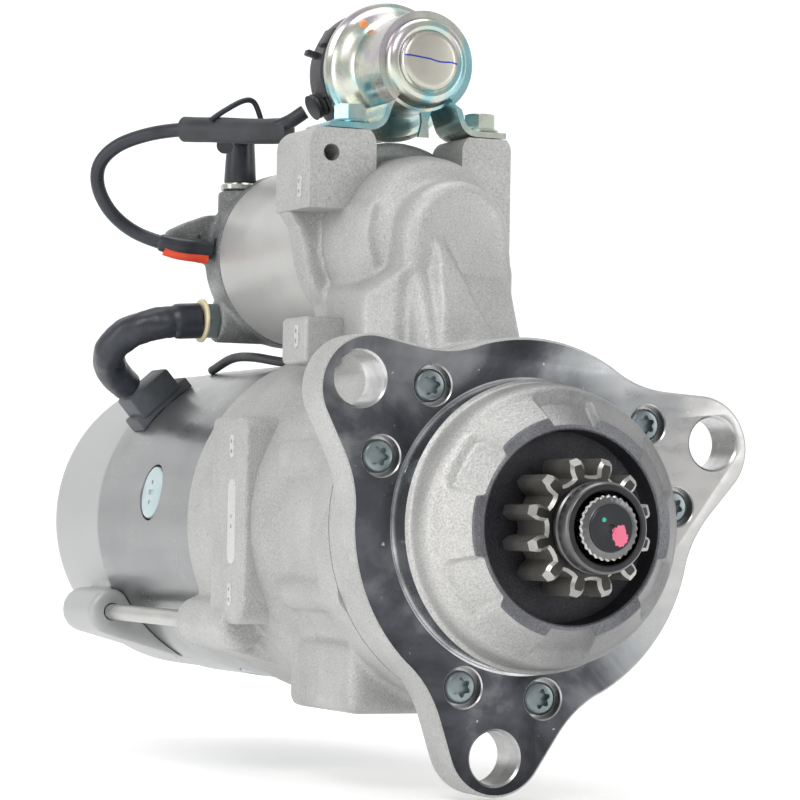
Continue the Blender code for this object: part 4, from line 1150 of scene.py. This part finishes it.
def relay_column(x_range, y_range, low_z, top_radii, rear_radius):
    """A column under one of the relay's feet: its front view cut by its side view."""
    high_z = COLUMN_TOP_Z + 1.2
    front = prism(rounded_outline(x_range, (low_z, high_z), (0.3, 0.3, *top_radii)),
                  y_range[0], y_range[1])
    side = side_prism(rounded_outline(y_range, (low_z - 5.0, high_z),
                                      (0.3, 0.3, rear_radius, 0.3)), x_range[0] - 5, x_range[1] + 5)
    return combine(front, [side], "INTERSECT")


def housing_shell():
    return lathe([
        (0, HOUSING_FRONT_Y - 2.5), (59.2, HOUSING_FRONT_Y - 2.5), (59.2, 33.0), (58.4, 35.2),
        (56.9, 36.8), (56.1, 39.0), (56.0, 64.5), (56.5, 66.5), (59.6, 84.0), (60.5, 88.5),
        (HOUSING_RING_R, HOUSING_REAR_Y + 2.0), (0, HOUSING_REAR_Y + 2.0),
    ], FINE)


def housing_dome():
    """The lever's chamber: a round-shouldered dome with a wedge-shaped rib down its front."""
    dome = prism(tombstone(19.6, 30.0, 114.2), 48.8, 90.0)
    front = [e for e in dome.edges if all(v.co.y < 49.0 and v.co.z > 30.5 for v in e.verts)]
    bmesh.ops.bevel(dome, geom=front, offset=6.5, segments=6, profile=0.5, affect="EDGES")
    skirt = side_prism([(36.5, 30.0), (34.5, 52.0), (41.0, 66.0), (48.8, 84.0), (60.0, 84.0),
                        (60.0, 30.0)], -19.0, 19.0)
    soften(skirt, 5.0, 4)
    rib = bmesh.new()
    top = [rib.verts.new(p) for p in ((-9.6, 47.6, 93.0), (-7.4, 48.0, 93.5), (-6.0, 54.0, 92.0),
                                      (-11.0, 54.0, 92.0))]
    low = [rib.verts.new(p) for p in ((-12.6, 34.2, 52.0), (8.5, 30.5, 52.0), (14.0, 44.0, 52.0),
                                      (-15.0, 44.0, 52.0))]
    rib.faces.new(top)
    rib.faces.new(low)
    for index in range(4):
        after = (index + 1) % 4
        rib.faces.new((top[index], top[after], low[after], low[index]))
    bmesh.ops.recalc_face_normals(rib, faces=rib.faces)
    return [dome, skirt, rib]


def housing_barrel():
    """The solenoid's seat: a round-shouldered barrel with a ring, and a raised panel on it."""
    axis = (0.0, SOLENOID_Z)
    barrel = lathe([
        (0, 62.0), (18.0, 62.0), (20.5, 64.0), (23.4, 66.2), (25.6, 69.2), (27.0, 73.0),
        (28.0, 79.0), (28.2, 84.0), (28.2, 98.6), (29.4, 100.0), (33.8, 100.5), (34.8, 101.5),
        (34.8, 112.0), (0, 112.0),
    ], FINE, axis)
    panel = lathe([(20.0, 66.0), (26.4, 66.6), (28.2, 72.0), (29.2, 79.0), (29.4, 98.0),
                   (20.0, 98.0)], FINE, axis)
    keep = box((-40.0, 60.0, 70.0), (-14.5, 99.0, 106.6))
    return [barrel, combine(panel, [keep], "INTERSECT")]


def housing_cast():
    """The housing's shell, dome, barrel, web, lugs and screw bosses, run into one casting."""
    parts = [housing_shell()] + housing_dome() + housing_barrel()
    parts.append(prism([(-41.0, 106.5), (-36.5, 100.0), (-34.6, 94.0), (-26.0, 94.0),
                        (-26.0, 106.5)], 100.6, 111.0))
    web = prism(WEB_PLAN, 30.0, 95.0, Matrix.Rotation(math.pi / 2.0, 4, "X"))
    rising = prism([(-40.0, 20.0), (-40.0, 66.0), (-30.8, 75.5), (-18.0, 86.0), (40.0, 86.0),
                    (40.0, 20.0)], 40.0, 120.0)
    web = combine(web, [rising], "INTERSECT")
    soften(web, 1.2, 2)
    parts.append(web)
    parts.append(box((-44.0, 34.0, -60.8), (12.0, 86.0, -36.0), 3.5))
    for place in BOLT_PLACES:
        parts.append(cylinder(LUG_R, 98.0, 141.0, place, edge=1.2))
    parts += lug_webs(112.0, 138.0)
    for angle in (127.4, 157.4, 204.0, 247.4, 277.4, 7.4, 37.4):
        parts.append(cylinder(6.2, HOUSING_FRONT_Y - 2.0, 70.0, polar(54.0, angle)))
    return cast(parts, 1.15, 3)


def housing_pads():
    """The crisp-edged shapes that stand on the casting: two columns, a pad and the rail."""
    left = relay_column((-40.8, -16.5), (COLUMN_FRONT_Y, 111.0), 105.3, (6.0, 6.5), 7.0)
    right = relay_column((15.6, 34.2), (COLUMN_FRONT_Y, 106.0), 60.0, (5.0, 6.0), 4.0)
    pad = side_prism(rounded_outline((83.4, 104.0), (53.0, 69.0), (2.0, 3.0, 2.0, 2.0)),
                     -40.8, -26.0)
    rail = side_prism(rounded_outline((83.0, 113.0), (-34.2, 35.0), (9.0, 3.0, 3.0, 5.0)),
                      -61.6, -44.0)
    for pad_shape in (left, right, pad, rail):
        soften(pad_shape, PAD_EDGE, 3)
    return [left, right, pad, rail]


def housing_cavity():
    """The hollow for the clutch, lever, plunger and gears, as one cutter."""
    chambers = lathe([
        (0, 0), (48.0, 0), (48.0, 92.0), (20.0, 92.0), (20.0, 103.5), (46.3, 103.5),
        (46.3, 150), (0, 150),
    ], FINE)
    return join(
        chambers,
        prism(tombstone(15.5, 20.0, 110.0, 12), 52.5, 84.0),
        cylinder(14.6, 70.0, 120.0, (0.0, SOLENOID_Z), MEDIUM),
        along_x(rod(3.9, -20.4, 20.4), *LEVER_PIVOT),
    )


def oval_mark(x, y, z, half_width=1.6, half_height=3.9):
    """A low oval pad with a soft edge and two dots, on a face that looks along -X."""
    outline = rounded_outline((y - half_width, y + half_width), (z - half_height, z + half_height),
                              (half_width - 0.02,) * 4)
    mark = side_prism(outline, x - 0.55, x + 1.5)
    soften(mark, 0.3, 2)
    dots = [along_x(rod(0.75, x - 2, x - 0.1), y, z + offset, 10) for offset in (-1.7, 1.7)]
    return cut(mark, *dots)


def housing_trims():
    """What planes off the columns' tops and the rear face round the frame, and the spigot."""
    tops = box((-60.0, 70.0, COLUMN_TOP_Z), (60.0, 120.0, 160.0))
    rear = lathe([(57.6, HOUSING_REAR_Y), (90.0, HOUSING_REAR_Y), (90.0, 160.0), (57.6, 160.0)],
                 FINE)
    lug_room = [cylinder(LUG_R + 0.2, HOUSING_REAR_Y - 3.0, 165.0, place) for place in BOLT_PLACES]
    spigot = lathe([(40.0, HOUSING_REAR_Y), (57.6, HOUSING_REAR_Y), (57.6, 150), (40.0, 150)],
                   FINE)
    return tops, cut(rear, *lug_room), spigot


def housing_holes():
    """The column's blind hole and the screws', the relay bolts' and the long bolts' holes."""
    holes = [cylinder(2.9, 60.0, COLUMN_FRONT_Y + 12.0, (-33.0, 124.0))]
    holes += [cylinder(3.2, 10.0, 36.0, place) for place in screw_places()]
    holes += [upright(rod(3.3, 116, 140), x, y) for x, y in RELAY_BOLTS]
    holes += [cylinder(BOLT_R + 0.3, 118.0, 150.0, place) for place in BOLT_PLACES]
    return merged(holes)


def lever_housing(materials):
    solid = join(housing_cast(), *housing_pads())
    far = 200.0
    ends = [
        box((-far, -50.0, -far), (far, HOUSING_FRONT_Y, far)),
        box((-far, HOUSING_REAR_Y + 3.0, -far), (far, 400.0, far)),
    ]
    solid = cut(solid, merged(ends), housing_cavity())
    solid = cut(solid, *housing_trims())
    solid = cut(solid, housing_holes())

    def choose(centre, normal):
        radius = math.hypot(centre.x, centre.z)
        if radius < 48.2 and abs(normal.y) < 0.9 and centre.z < 48.0:
            return 2
        grainy = 65.0 < centre.y < 88.0 and centre.x < -38.0 and abs(centre.z) < 46.0
        if grainy and centre.x > -61.2:
            return 1
        underside = centre.z < -30.0 and 60.0 < centre.y < 100.0
        return 1 if underside else 0

    make_piece("lever_casting", solid,
               [materials[n] for n in ("cast", "cast_grain", "bored")], "root",
               ["lever_housing"], choose, angle=38.0)
    for number, mark in enumerate(CASTING_MARKS, 1):
        make_piece(f"casting_mark_{number}", oval_mark(*mark), [materials["cast_bright"]], "root")


# ---------------------------------------------------------------- motor


def radial_lathe(profile, angle, y, segments=SMALL):
    """Turn a closed (radius, distance from the shaft) profile about a radial line."""
    turn = Matrix.Translation((0.0, y, 0.0)) @ radial_turn(angle)
    return lathe(profile, segments, matrix=turn)


def field_frame(materials):
    solid = lathe([
        (51.5, HOUSING_REAR_Y + 0.3), (FRAME_R - 0.5, HOUSING_REAR_Y + 0.3),
        (FRAME_R, HOUSING_REAR_Y + 0.8), (FRAME_R, FRAME_REAR_Y - 0.5),
        (FRAME_R - 0.5, FRAME_REAR_Y), (51.5, FRAME_REAR_Y),
    ], 192)
    holes = [radial_lathe([(0, 40), (5.2, 40), (5.2, 54.4), (10.3, 54.4), (10.3, 56.4),
                           (10.9, 58.4), (10.9, 70), (0, 70)], angle, POLE_Y, 48)
             for angle in POLE_ANGLES]
    holes.append(radial_lathe(rod(7.0, 40, 80), GROMMET_ANGLE, GROMMET_Y))
    solid = cut(solid, merged(holes))

    def choose(centre, normal):
        return 1 if math.hypot(centre.x, centre.z) < FRAME_R - 1.2 else 0

    make_piece("frame_tube", solid, [materials["frame"], materials["black_steel"]], "root",
               ["field_frame"], choose)


def pole_screws(materials):
    for number, angle in enumerate(POLE_ANGLES, 1):
        head = radial_lathe([
            (0, 43.0), (4.9, 43.0), (4.9, 54.7), (9.5, 54.7), (9.5, 56.3), (9.2, 56.9),
            (8.7, 57.1), (0, 57.1),
        ], angle, POLE_Y, 48)
        turn = turned_about_y(90.0 - angle, (0.0, POLE_Y, 0.0))
        slot = moved(box((-0.9, -2.6, 56.5), (0.9, 2.6, 60.0)), turn)
        dots = [moved(upright(rod(0.9, 56.4, 60.0), x, 0.4, 12), turn) for x in (-3.7, 3.7)]
        solid = cut(head, merged([slot] + dots))
        make_piece(f"pole_screw_head_{number}", solid, [materials["pole_screw"]], "root",
                   [f"pole_screw_{number}"])


def end_frame(materials):
    shell = lathe([
        (0, FRAME_REAR_Y + 0.3), (FRAME_R - 0.9, FRAME_REAR_Y + 0.3),
        (FRAME_R - 0.4, FRAME_REAR_Y + 0.9), (56.7, 262.0), (56.7, 289.0), (56.3, 291.6),
        (55.2, 293.9), (53.4, 295.8), (51.0, 297.0), (48.0, END_REAR_Y), (0, END_REAR_Y),
    ], FINE)
    lugs = [cylinder(LUG_R, 228.0, 262.0, place, edge=1.2) for place in BOLT_PLACES]
    lugs += lug_webs(229.0, 261.0)
    hollow = lathe([
        (0, 200), (52.3, 200), (52.3, 285.0), (48.0, 290.5), (18.0, 290.5), (18.0, 277.0),
        (13.3, 277.0), (13.3, 293.0), (0, 293.0),
    ], MEDIUM)
    frame_room = lathe([(0, 200), (FRAME_R + 0.3, 200), (FRAME_R + 0.3, FRAME_REAR_Y + 0.3),
                        (0, FRAME_REAR_Y + 0.3)], FINE)
    fused = cast([shell] + lugs, 1.3, 4)
    front = box((-90, 200, -90), (90, 228.0, 90))
    solid = cut(fused, join(hollow, frame_room, front))
    holes = [cylinder(BOLT_R + 0.3, 220.0, 270.0, place) for place in BOLT_PLACES]
    solid = cut(solid, merged(holes))
    make_piece("rear_cover", solid, [materials["end_cap"]], "root",
               ["end_frame"], angle=40.0)


def hexagon(radius):
    return [polar(radius, 60.0 * corner) for corner in range(6)]


def hex_head(radius, low, high, matrix):
    """A hexagon head along Y, its outer face turned down to a round chamfer."""
    head = prism(hexagon(radius), low, high)
    limit = lathe([(0, low - 1.0), (radius + 1.0, low - 1.0), (radius + 1.0, high - 1.1),
                   (radius * 0.87, high), (0, high)], 36)
    return moved(combine(head, [limit], "INTERSECT"), matrix)


def through_bolts(materials):
    for number, place in enumerate(BOLT_PLACES, 1):
        shank = cylinder(BOLT_R, 120.0, 264.0, place, edge=0.4)
        head = hex_head(5.6, 262.3, 267.5, Matrix.Translation((place[0], 0.0, place[1])))
        make_piece(f"long_bolt_{number}", join(shank, head), [materials["bolt"]], "root",
                   [f"through_bolt_{number}"])


# ---------------------------------------------------------------- solenoid


def solenoid_case(materials):
    axis = (0.0, SOLENOID_Z)
    solid = lathe([
        (8.8, SOLENOID_FRONT_Y), (SOLENOID_R - 0.8, SOLENOID_FRONT_Y),
        (SOLENOID_R, SOLENOID_FRONT_Y + 0.8), (SOLENOID_R, SOLENOID_REAR_Y - 1.4),
        (SOLENOID_R - 0.5, SOLENOID_REAR_Y - 0.5), (SOLENOID_R - 0.9, SOLENOID_REAR_Y),
        (29.8, SOLENOID_REAR_Y), (29.8, 116.5), (8.8, 116.5),
    ], 160, axis)
    make_piece("solenoid_tube", solid, [materials["case"]], "root",
               ["solenoid_case"])


def plunger_spring(materials):
    """The return spring round the plunger, built as a fixed coil; nothing here shortens it as the
    plunger goes in.
    """
    steps = 24 * SPRING_TURNS
    route = []
    for step in range(steps + 1):
        x, z = polar(SPRING_COIL_R, 15.0 * step)
        y = SPRING_FRONT_Y + (SPRING_REAR_Y - SPRING_FRONT_Y) * step / steps
        route.append((x, y, SOLENOID_Z + z))
    coil = sweep(route, steady(SPRING_WIRE_R), 1.0, 12)
    spring = make_piece("return_spring", coil, [materials["bright"]], "root",
                        ["plunger_spring"])
    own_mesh(spring)


def solenoid_cap(materials):
    axis = (0.0, SOLENOID_Z)
    dish = lathe([
        (0, SOLENOID_REAR_Y + 0.3), (SOLENOID_R, SOLENOID_REAR_Y + 0.3), (SOLENOID_R, 197.8),
        (31.6, 200.2), (30.2, 203.4), (28.4, 206.0), (26.0, 207.6), (23.0, 208.0), (0, 208.0),
    ], FINE, axis)
    battery_boss = upright([(0, 100.0), (8.0, 100.0), (8.0, 120.8), (7.4, 121.4), (0, 121.4)],
                           *BATTERY_STUD)
    motor_boss = along_x([(0, -29.0), (7.2, -29.0), (7.8, -28.4), (7.8, -8.0), (0, -8.0)],
                         STUD_Y, MOTOR_STUD_Z)
    lug = prism([(-20, 113), (-33, 112), (-41.0, 109.0), (-47.2, 106.0), (-48.4, 104.4),
                 (-48.0, 102.2), (-42.0, 98.2), (-36, 94.5), (-20, 94.5)], 194.0, 200.0)
    soften(lug, 0.7)
    fused = cast([dish, battery_boss, motor_boss, lug], 0.9, 3)
    hollow = cylinder(28.6, 170.0, 201.0, axis, MEDIUM)
    front = box((-60, 150, 40), (60, SOLENOID_REAR_Y + 0.3, 150))
    solid = cut(fused, join(hollow, front))
    holes = [
        upright(rod(4.8, 90, 140), *BATTERY_STUD),
        along_x(rod(4.8, -50, -4), STUD_Y, MOTOR_STUD_Z),
        cylinder(0.8, 190.0, 205.0, (-36.5, 103.6), 12),
    ]
    solid = cut(solid, merged(holes))
    make_piece("terminal_cap", solid, [materials["cap"]], "root", ["solenoid_cap"],
               angle=40.0)
    slot = box((-32.2, 188.0, 97.2), (-27.0, 190.6, 103.2), 0.4)
    make_piece("spade_slot", slot, [materials["plastic"]], "root")


def studs(materials):
    post = upright([(0, 100.0), (4.2, 100.0), (4.2, 132.6), (3.9, 133.0), (0, 133.0)],
                   *BATTERY_STUD)
    make_piece("battery_post", post, [materials["zinc_screw"]], "root",
               ["battery_stud"])
    boot = upright([(4.4, 124.4), (5.6, 124.4), (5.9, 125.2), (5.5, 133.0), (5.0, 140.6),
                    (4.4, 141.2)], *BATTERY_STUD)
    make_piece("battery_boot", boot, [materials["loom"]], "root")
    bar = along_x([(0, -34.5), (4.1, -34.5), (4.5, -34.1), (4.5, -7.0), (0, -7.0)], STUD_Y,
                  MOTOR_STUD_Z)
    flat = Matrix.Translation((0.0, STUD_Y, MOTOR_STUD_Z)) @ Matrix.Rotation(
        math.pi / 2.0, 4, "Z")
    nut = hex_head(7.0, 29.3, 33.5, flat)
    make_piece("motor_post", join(bar, nut), [materials["zinc_screw"]], "root",
               ["motor_stud"])
    clamp = upright([(4.5, 121.7), (6.8, 121.7), (7.2, 122.1), (7.2, 123.6), (6.6, 124.2),
                     (4.5, 124.2)], *BATTERY_STUD)
    make_piece("battery_clamp", clamp, [materials["zinc"]], "root")


# ---------------------------------------------------------------- relay


def omega_outline(thickness=2.0):
    """The strap round the relay, flaring into its two feet, as one thin closed outline."""
    ring_r = 17.6
    neck = -50.0
    outer = []
    for step in range(33):
        x, z = polar(ring_r, 90.0 + (neck - 90.0) * step / 32.0)
        outer.append((RELAY_X + x, RELAY_Z + z))
    foot_z = RELAY_FOOT_Z
    top = foot_z + thickness
    bend = [(13.9, 142.0), (14.6, 140.2), (15.0, 138.6), (15.7, 137.0), (16.8, 135.8),
            (18.3, 135.0), (20.0, top)]
    outer += [(RELAY_X + x, z) for x, z in bend] + [(36.0, top), (36.6, top - 0.6),
                                                    (36.6, foot_z + 0.6), (36.0, foot_z)]
    under = [(19.6, foot_z), (17.4, 133.2), (15.4, 134.4), (14.0, 136.0), (13.2, 138.0),
             (12.6, 139.8), (12.0, 141.4)]
    outer += [(RELAY_X + x, z) for x, z in under]
    x, z = polar(ring_r - thickness, neck)
    outer.append((RELAY_X + x, RELAY_Z + z))
    mirrored = [(2.0 * RELAY_X - px, pz) for px, pz in reversed(outer[1:])]
    return outer + mirrored


def relay_can(materials):
    axis = (RELAY_X, RELAY_Z)
    can = lathe([
        (0, 77.6), (8.0, 77.6), (9.2, 77.8), (9.9, 78.3), (10.2, 79.2), (10.8, 79.7),
        (12.0, 79.3), (13.2, 79.6), (14.2, 80.4), (14.9, 81.6), (15.3, 83.0), (15.6, 84.6),
        (16.6, 85.2), (16.6, 103.6), (17.0, 104.6), (18.6, 106.4), (20.4, 107.8), (22.2, 109.4),
        (22.8, 110.6), (23.6, 111.0), (24.2, 111.5), (24.3, 112.0), (24.3, 113.8), (23.9, 114.4),
        (0, 114.4),
    ], FINE, axis)
    strap = prism(omega_outline(), 82.6, 103.0)
    spare_foot = box((RIGHT_FOOT_END_X, 70.0, RELAY_FOOT_Z - 2.0), (50.0, 110.0, 140.0))
    hollow = cylinder(13.8, 84.0, 120.0, axis, MEDIUM)
    holes = [upright(rod(3.5, 130, 137), x, y) for x, y in RELAY_BOLTS]
    tab = prism([(4.6, 132.9), (8.6, 132.9), (8.2, 138.0), (9.4, 142.6), (5.0, 143.4),
                 (5.8, 138.0)], 94.0, 95.4)
    solid = cut(join(can, cut(strap, spare_foot)), hollow, merged(holes))

    def choose(centre, normal):
        radius = math.hypot(centre.x - RELAY_X, centre.z - RELAY_Z)
        if radius < 10.0 and centre.y < 79.0:
            return 1
        return 2 if centre.y < 82.7 and normal.y < -0.9 and radius > 15.2 else 0

    make_piece("relay_can", solid,
               [materials[n] for n in ("zinc", "relay_face", "cream_edge")], "root",
               ["relay_case"], choose)
    make_piece("relay_earth_tab", tab, [materials["zinc"]], "root")
    bump = cylinder(1.5, 106.4, 110.2, (RELAY_X - 12.3, RELAY_Z + 15.2), 20, edge=0.5)
    make_piece("relay_rivet", bump, [materials["orange"]], "root")


def nozzle_profile():
    """The cap's ribbed outlet for the leads."""
    profile = [(0, 15.0), (5.0, 15.0), (5.0, 19.0)]
    for step in range(4):
        profile += [(5.0 - 0.15 * step, 19.6 + 2.0 * step), (4.3, 20.4 + 2.0 * step),
                    (4.3, 20.8 + 2.0 * step)]
    return profile + [(4.6, 27.0), (0, 27.0)]


def relay_cap(materials):
    axis = (RELAY_X, RELAY_Z)
    cap = lathe([
        (0, 114.8), (22.6, 114.8), (23.0, 115.4), (23.0, 117.6), (22.4, 118.2), (22.4, 119.0),
        (23.0, 119.6), (23.0, 128.0), (22.4, 130.4), (21.2, 132.2), (19.6, 133.0), (0, 133.0),
    ], FINE, axis)
    bobbin = cylinder(13.3, 93.0, 118.0, axis, MEDIUM)
    bore = cylinder(6.5, 80.0, 127.0, axis, SMALL)
    tabs = []
    centre = (RELAY_X, 0.0, RELAY_Z)
    for angle in (150.0, 196.0, 255.0):
        turn = turned_about_y(-angle, centre)
        tabs.append(moved(box((21.5, 115.0, -3.2), (24.4, 124.0, 3.2), 0.5), turn))
    hook_turn = turned_about_y(-166.0, centre)
    tabs.append(moved(box((21.5, 123.0, -1.2), (27.2, 126.5, 0.8), 0.4), hook_turn))
    nozzle_turn = Matrix.Translation((RELAY_X, 124.0, RELAY_Z)) @ radial_turn(208.0)
    nozzle = lathe(nozzle_profile(), SMALL, matrix=nozzle_turn)
    solid = cut(join(cap, bobbin, nozzle, *tabs), bore)
    make_piece("relay_cover", solid, [materials["plastic"]], "root",
               ["relay_cap"])


def relay_bolts(materials):
    foot_top = RELAY_FOOT_Z + 2.0
    turn = Matrix.Rotation(math.pi / 2.0, 4, "X")
    for number, (x, y) in enumerate(RELAY_BOLTS, 1):
        body = upright([
            (0, 118.0), (3.0, 118.0), (3.0, foot_top + 0.3), (6.4, foot_top + 0.3),
            (6.6, foot_top + 0.7), (6.3, foot_top + 1.3), (5.4, foot_top + 1.6),
            (0, foot_top + 1.6),
        ], x, y, 40)
        place = Matrix.Translation((x, y, 0.0)) @ turn
        head = hex_head(5.8, foot_top + 1.0, foot_top + 6.6, place)
        make_piece(f"relay_hex_bolt_{number}", join(body, head), [materials["zinc"]], "root",
                   [f"relay_bolt_{number}"])


# ---------------------------------------------------------------- leads


def wrinkled(base, depth):
    """A sleeve's radius, with shallow creases along and round it."""
    def radius_at(length, turn):
        crease = noise.noise(Vector((0.16 * length, 1.3 * math.cos(turn), 1.3 * math.sin(turn))))
        fine = noise.noise(Vector((0.55 * length, 2.5 * math.cos(turn), 2.5 * math.sin(turn))))
        return base + depth * crease + 0.4 * depth * fine
    return radius_at


def motor_lead(materials):
    loose = wrinkled(5.9, 0.45)

    def radius_at(length, turn):
        if length < 9.5:
            return 6.5 - 0.25 * smoothstep(7.5, 9.5, length)
        return loose(length, turn)

    make_piece("motor_cable", sweep(MOTOR_LEAD_ROUTE, radius_at, 0.8, 40), [materials["sleeve"]],
               "root", ["motor_lead"])
    washer = along_x([(4.8, -34.9), (7.6, -34.9), (8.0, -34.5), (8.0, -33.9), (7.6, -33.6),
                      (4.8, -33.6)], STUD_Y, MOTOR_STUD_Z)
    make_piece("stud_washer", washer, [materials["washer"]], "root")


def switch_lead(materials):
    boot_start = route_length(SWITCH_LEAD_ROUTE) - 19.0

    def radius_at(length, turn):
        return 2.5 + 0.75 * smoothstep(boot_start, boot_start + 1.2, length)

    make_piece("switch_cable", sweep(SWITCH_LEAD_ROUTE, radius_at, 0.9, 24), [materials["loom"]],
               "root", ["switch_lead"])
    seal = sweep(((-51.0, 191.6, 98.0), (-46.0, 190.6, 96.7), (-40.0, 189.4, 96.0),
                  (-35.2, 189.2, 95.6)), steady(2.0), 1.0, 16)
    make_piece("spade_seal", seal, [materials["red"]], "root")


def battery_lead(materials):
    total = route_length(BATTERY_LEAD_ROUTE)

    def radius_at(length, turn):
        boot = smoothstep(total - 15.0, total - 13.0, length)
        return 3.0 + 1.2 * boot + 0.25 * boot * math.cos(4.0 * turn)

    make_piece("battery_cable", sweep(BATTERY_LEAD_ROUTE, radius_at, 0.9, 24), [materials["loom"]],
               "root", ["battery_lead"])


def harness(materials):
    """The sleeve round the relay's leads, the thin wire over it and the frame's earth lead."""
    make_piece("harness_sleeve", sweep(SLEEVE_ROUTE, wrinkled(4.5, 0.12), 1.0, 28),
               [materials["rubber"]], "root")
    make_piece("thin_wire", sweep(THIN_WIRE_ROUTE, steady(1.0), 0.8, 14),
               [materials["loom"]], "root")
    make_piece("earth_lead", sweep(EARTH_LEAD_ROUTE, steady(1.7), 1.0, 16),
               [materials["rubber"]], "root")


def lead_grommet(materials):
    turn = turned_about_y(90.0 - GROMMET_ANGLE, (0.0, GROMMET_Y, 0.0))
    plate = moved(box((-14.0, -6.5, 52.0), (11.5, 6.5, 61.0), 0.9), turn)
    block = moved(box((-11.5, -7.5, 59.0), (7.5, 7.5, 68.5), 1.2), turn)
    solid = cut(join(plate, block), cylinder(FRAME_R + 0.3, 200, 250, segments=FINE))
    neck = radial_lathe(rod(6.6, 52.5, 60.0), GROMMET_ANGLE, GROMMET_Y)
    make_piece("cable_grommet", join(solid, neck), [materials["grommet"]], "root",
               ["lead_grommet"])


# ---------------------------------------------------------------- frame nodes that stay


def dress_nodes(materials, nodes):
    """Gives every CAD node that is still shown its material."""
    by_material = {
        "steel": ("drive_bearing", "rear_bearing", "carrier_bearing", "armature_shaft",
                  "planet_carrier", "clutch_housing", "plunger", "relay_plunger", "ring_gear",
                  "lever_pivot_pin", "pole_shoe_1", "pole_shoe_2", "pole_shoe_3", "pole_shoe_4"),
        "tooth": ("planet_gear_1", "planet_gear_2", "planet_gear_3", "shift_lever"),
        "laminations": ("armature_core",),
        "zinc": ("brush_holder",),
        "copper": ("field_coils", "commutator", "solenoid_coil", "contact_disc"),
        "carbon": ("brush_1", "brush_2", "brush_3", "brush_4"),
    }
    chosen = {node: name for name, members in by_material.items() for node in members}
    for name, obj in nodes.items():
        obj.data.materials.clear()
        obj.data.materials.append(materials[chosen.get(name, "cast")])


# ---------------------------------------------------------------- stage


def area_light(name, place, size, power):
    light = bpy.data.lights.new(name, "AREA")
    light.shape = "RECTANGLE"
    light.size, light.size_y = size
    light.energy = power
    obj = new_object(name, light)
    obj.location = place
    aim = Vector(LIGHT_TARGET) - Vector(place)
    obj.rotation_euler = aim.to_track_quat("-Z", "Y").to_euler()


def make_stage(low):
    """A pale sweep: a floor that curves up into a backdrop behind the object."""
    floor_z = low.z - FLOOR_DROP
    depth = [(-3.0, 0.0), (1.6, 0.0)]
    bend = [(1.6 + 0.8 * math.sin(math.radians(a)), 0.8 - 0.8 * math.cos(math.radians(a)))
            for a in range(10, 91, 10)]
    profile = depth + bend + [(2.4, 4.0)]
    bm = bmesh.new()
    rows = []
    for along, height in profile:
        rows.append([bm.verts.new((x, along, floor_z + height)) for x in (-5.0, 5.0)])
    for row, following in zip(rows, rows[1:]):
        bm.faces.new((row[0], row[1], following[1], following[0]))
    mesh = mesh_from(bm, "floor")
    mesh.shade_smooth()
    shader = Shader("pale_floor", 0.7)
    shader.color(shader.mix(shader.noise(2.0, 2.0), (0.96, 0.96, 0.96), (0.98, 0.98, 0.975)))
    shader.glow(FLOOR_GLOW)
    mesh.materials.append(shader.material)
    floor = new_object("floor", mesh)
    floor.rotation_euler = (0.0, 0.0, math.radians(CAMERA_AZIMUTH))


def make_lights():
    world = bpy.data.worlds.new("studio")
    world.use_nodes = True
    background = world.node_tree.nodes["Background"]
    background.inputs["Color"].default_value = (1.0, 1.0, 1.0, 1.0)
    background.inputs["Strength"].default_value = WORLD_STRENGTH
    bpy.context.scene.world = world
    for light in LIGHTS:
        area_light(*light)
    bpy.context.scene.view_settings.view_transform = "Standard"


def make_camera():
    camera = bpy.data.cameras.new("camera")
    camera.lens = CAMERA_LENS
    camera.sensor_width = 36.0
    camera.clip_start = 0.05
    camera.clip_end = 50.0
    obj = new_object("camera", camera)
    azimuth = math.radians(CAMERA_AZIMUTH)
    elevation = math.radians(CAMERA_ELEVATION)
    back = Vector((math.sin(azimuth) * math.cos(elevation),
                   -math.cos(azimuth) * math.cos(elevation), math.sin(elevation)))
    level = back.to_track_quat("Z", "Y").to_matrix()
    roll = Matrix.Rotation(math.radians(CAMERA_ROLL), 3, "Z")
    obj.matrix_world = Matrix.Translation(CAMERA_PLACE) @ (level @ roll).to_4x4()
    bpy.context.scene.camera = obj


def main():
    for obj in list(bpy.data.objects):
        bpy.data.objects.remove(obj, do_unlink=True)
    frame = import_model()
    cad_low, cad_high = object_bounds()
    materials = make_materials()
    dress_nodes(materials, frame["nodes"])
    builders = (
        nose_housing, nose_screws, pinion, pinion_stop, output_shaft, lever_housing, field_frame,
        pole_screws, end_frame, through_bolts, solenoid_case, plunger_spring, solenoid_cap, studs,
        relay_can, relay_cap, relay_bolts, motor_lead, switch_lead, battery_lead, harness,
        lead_grommet,
    )
    for build in builders:
        build(materials)
    make_stage(cad_low)
    make_lights()
    make_camera()


main()
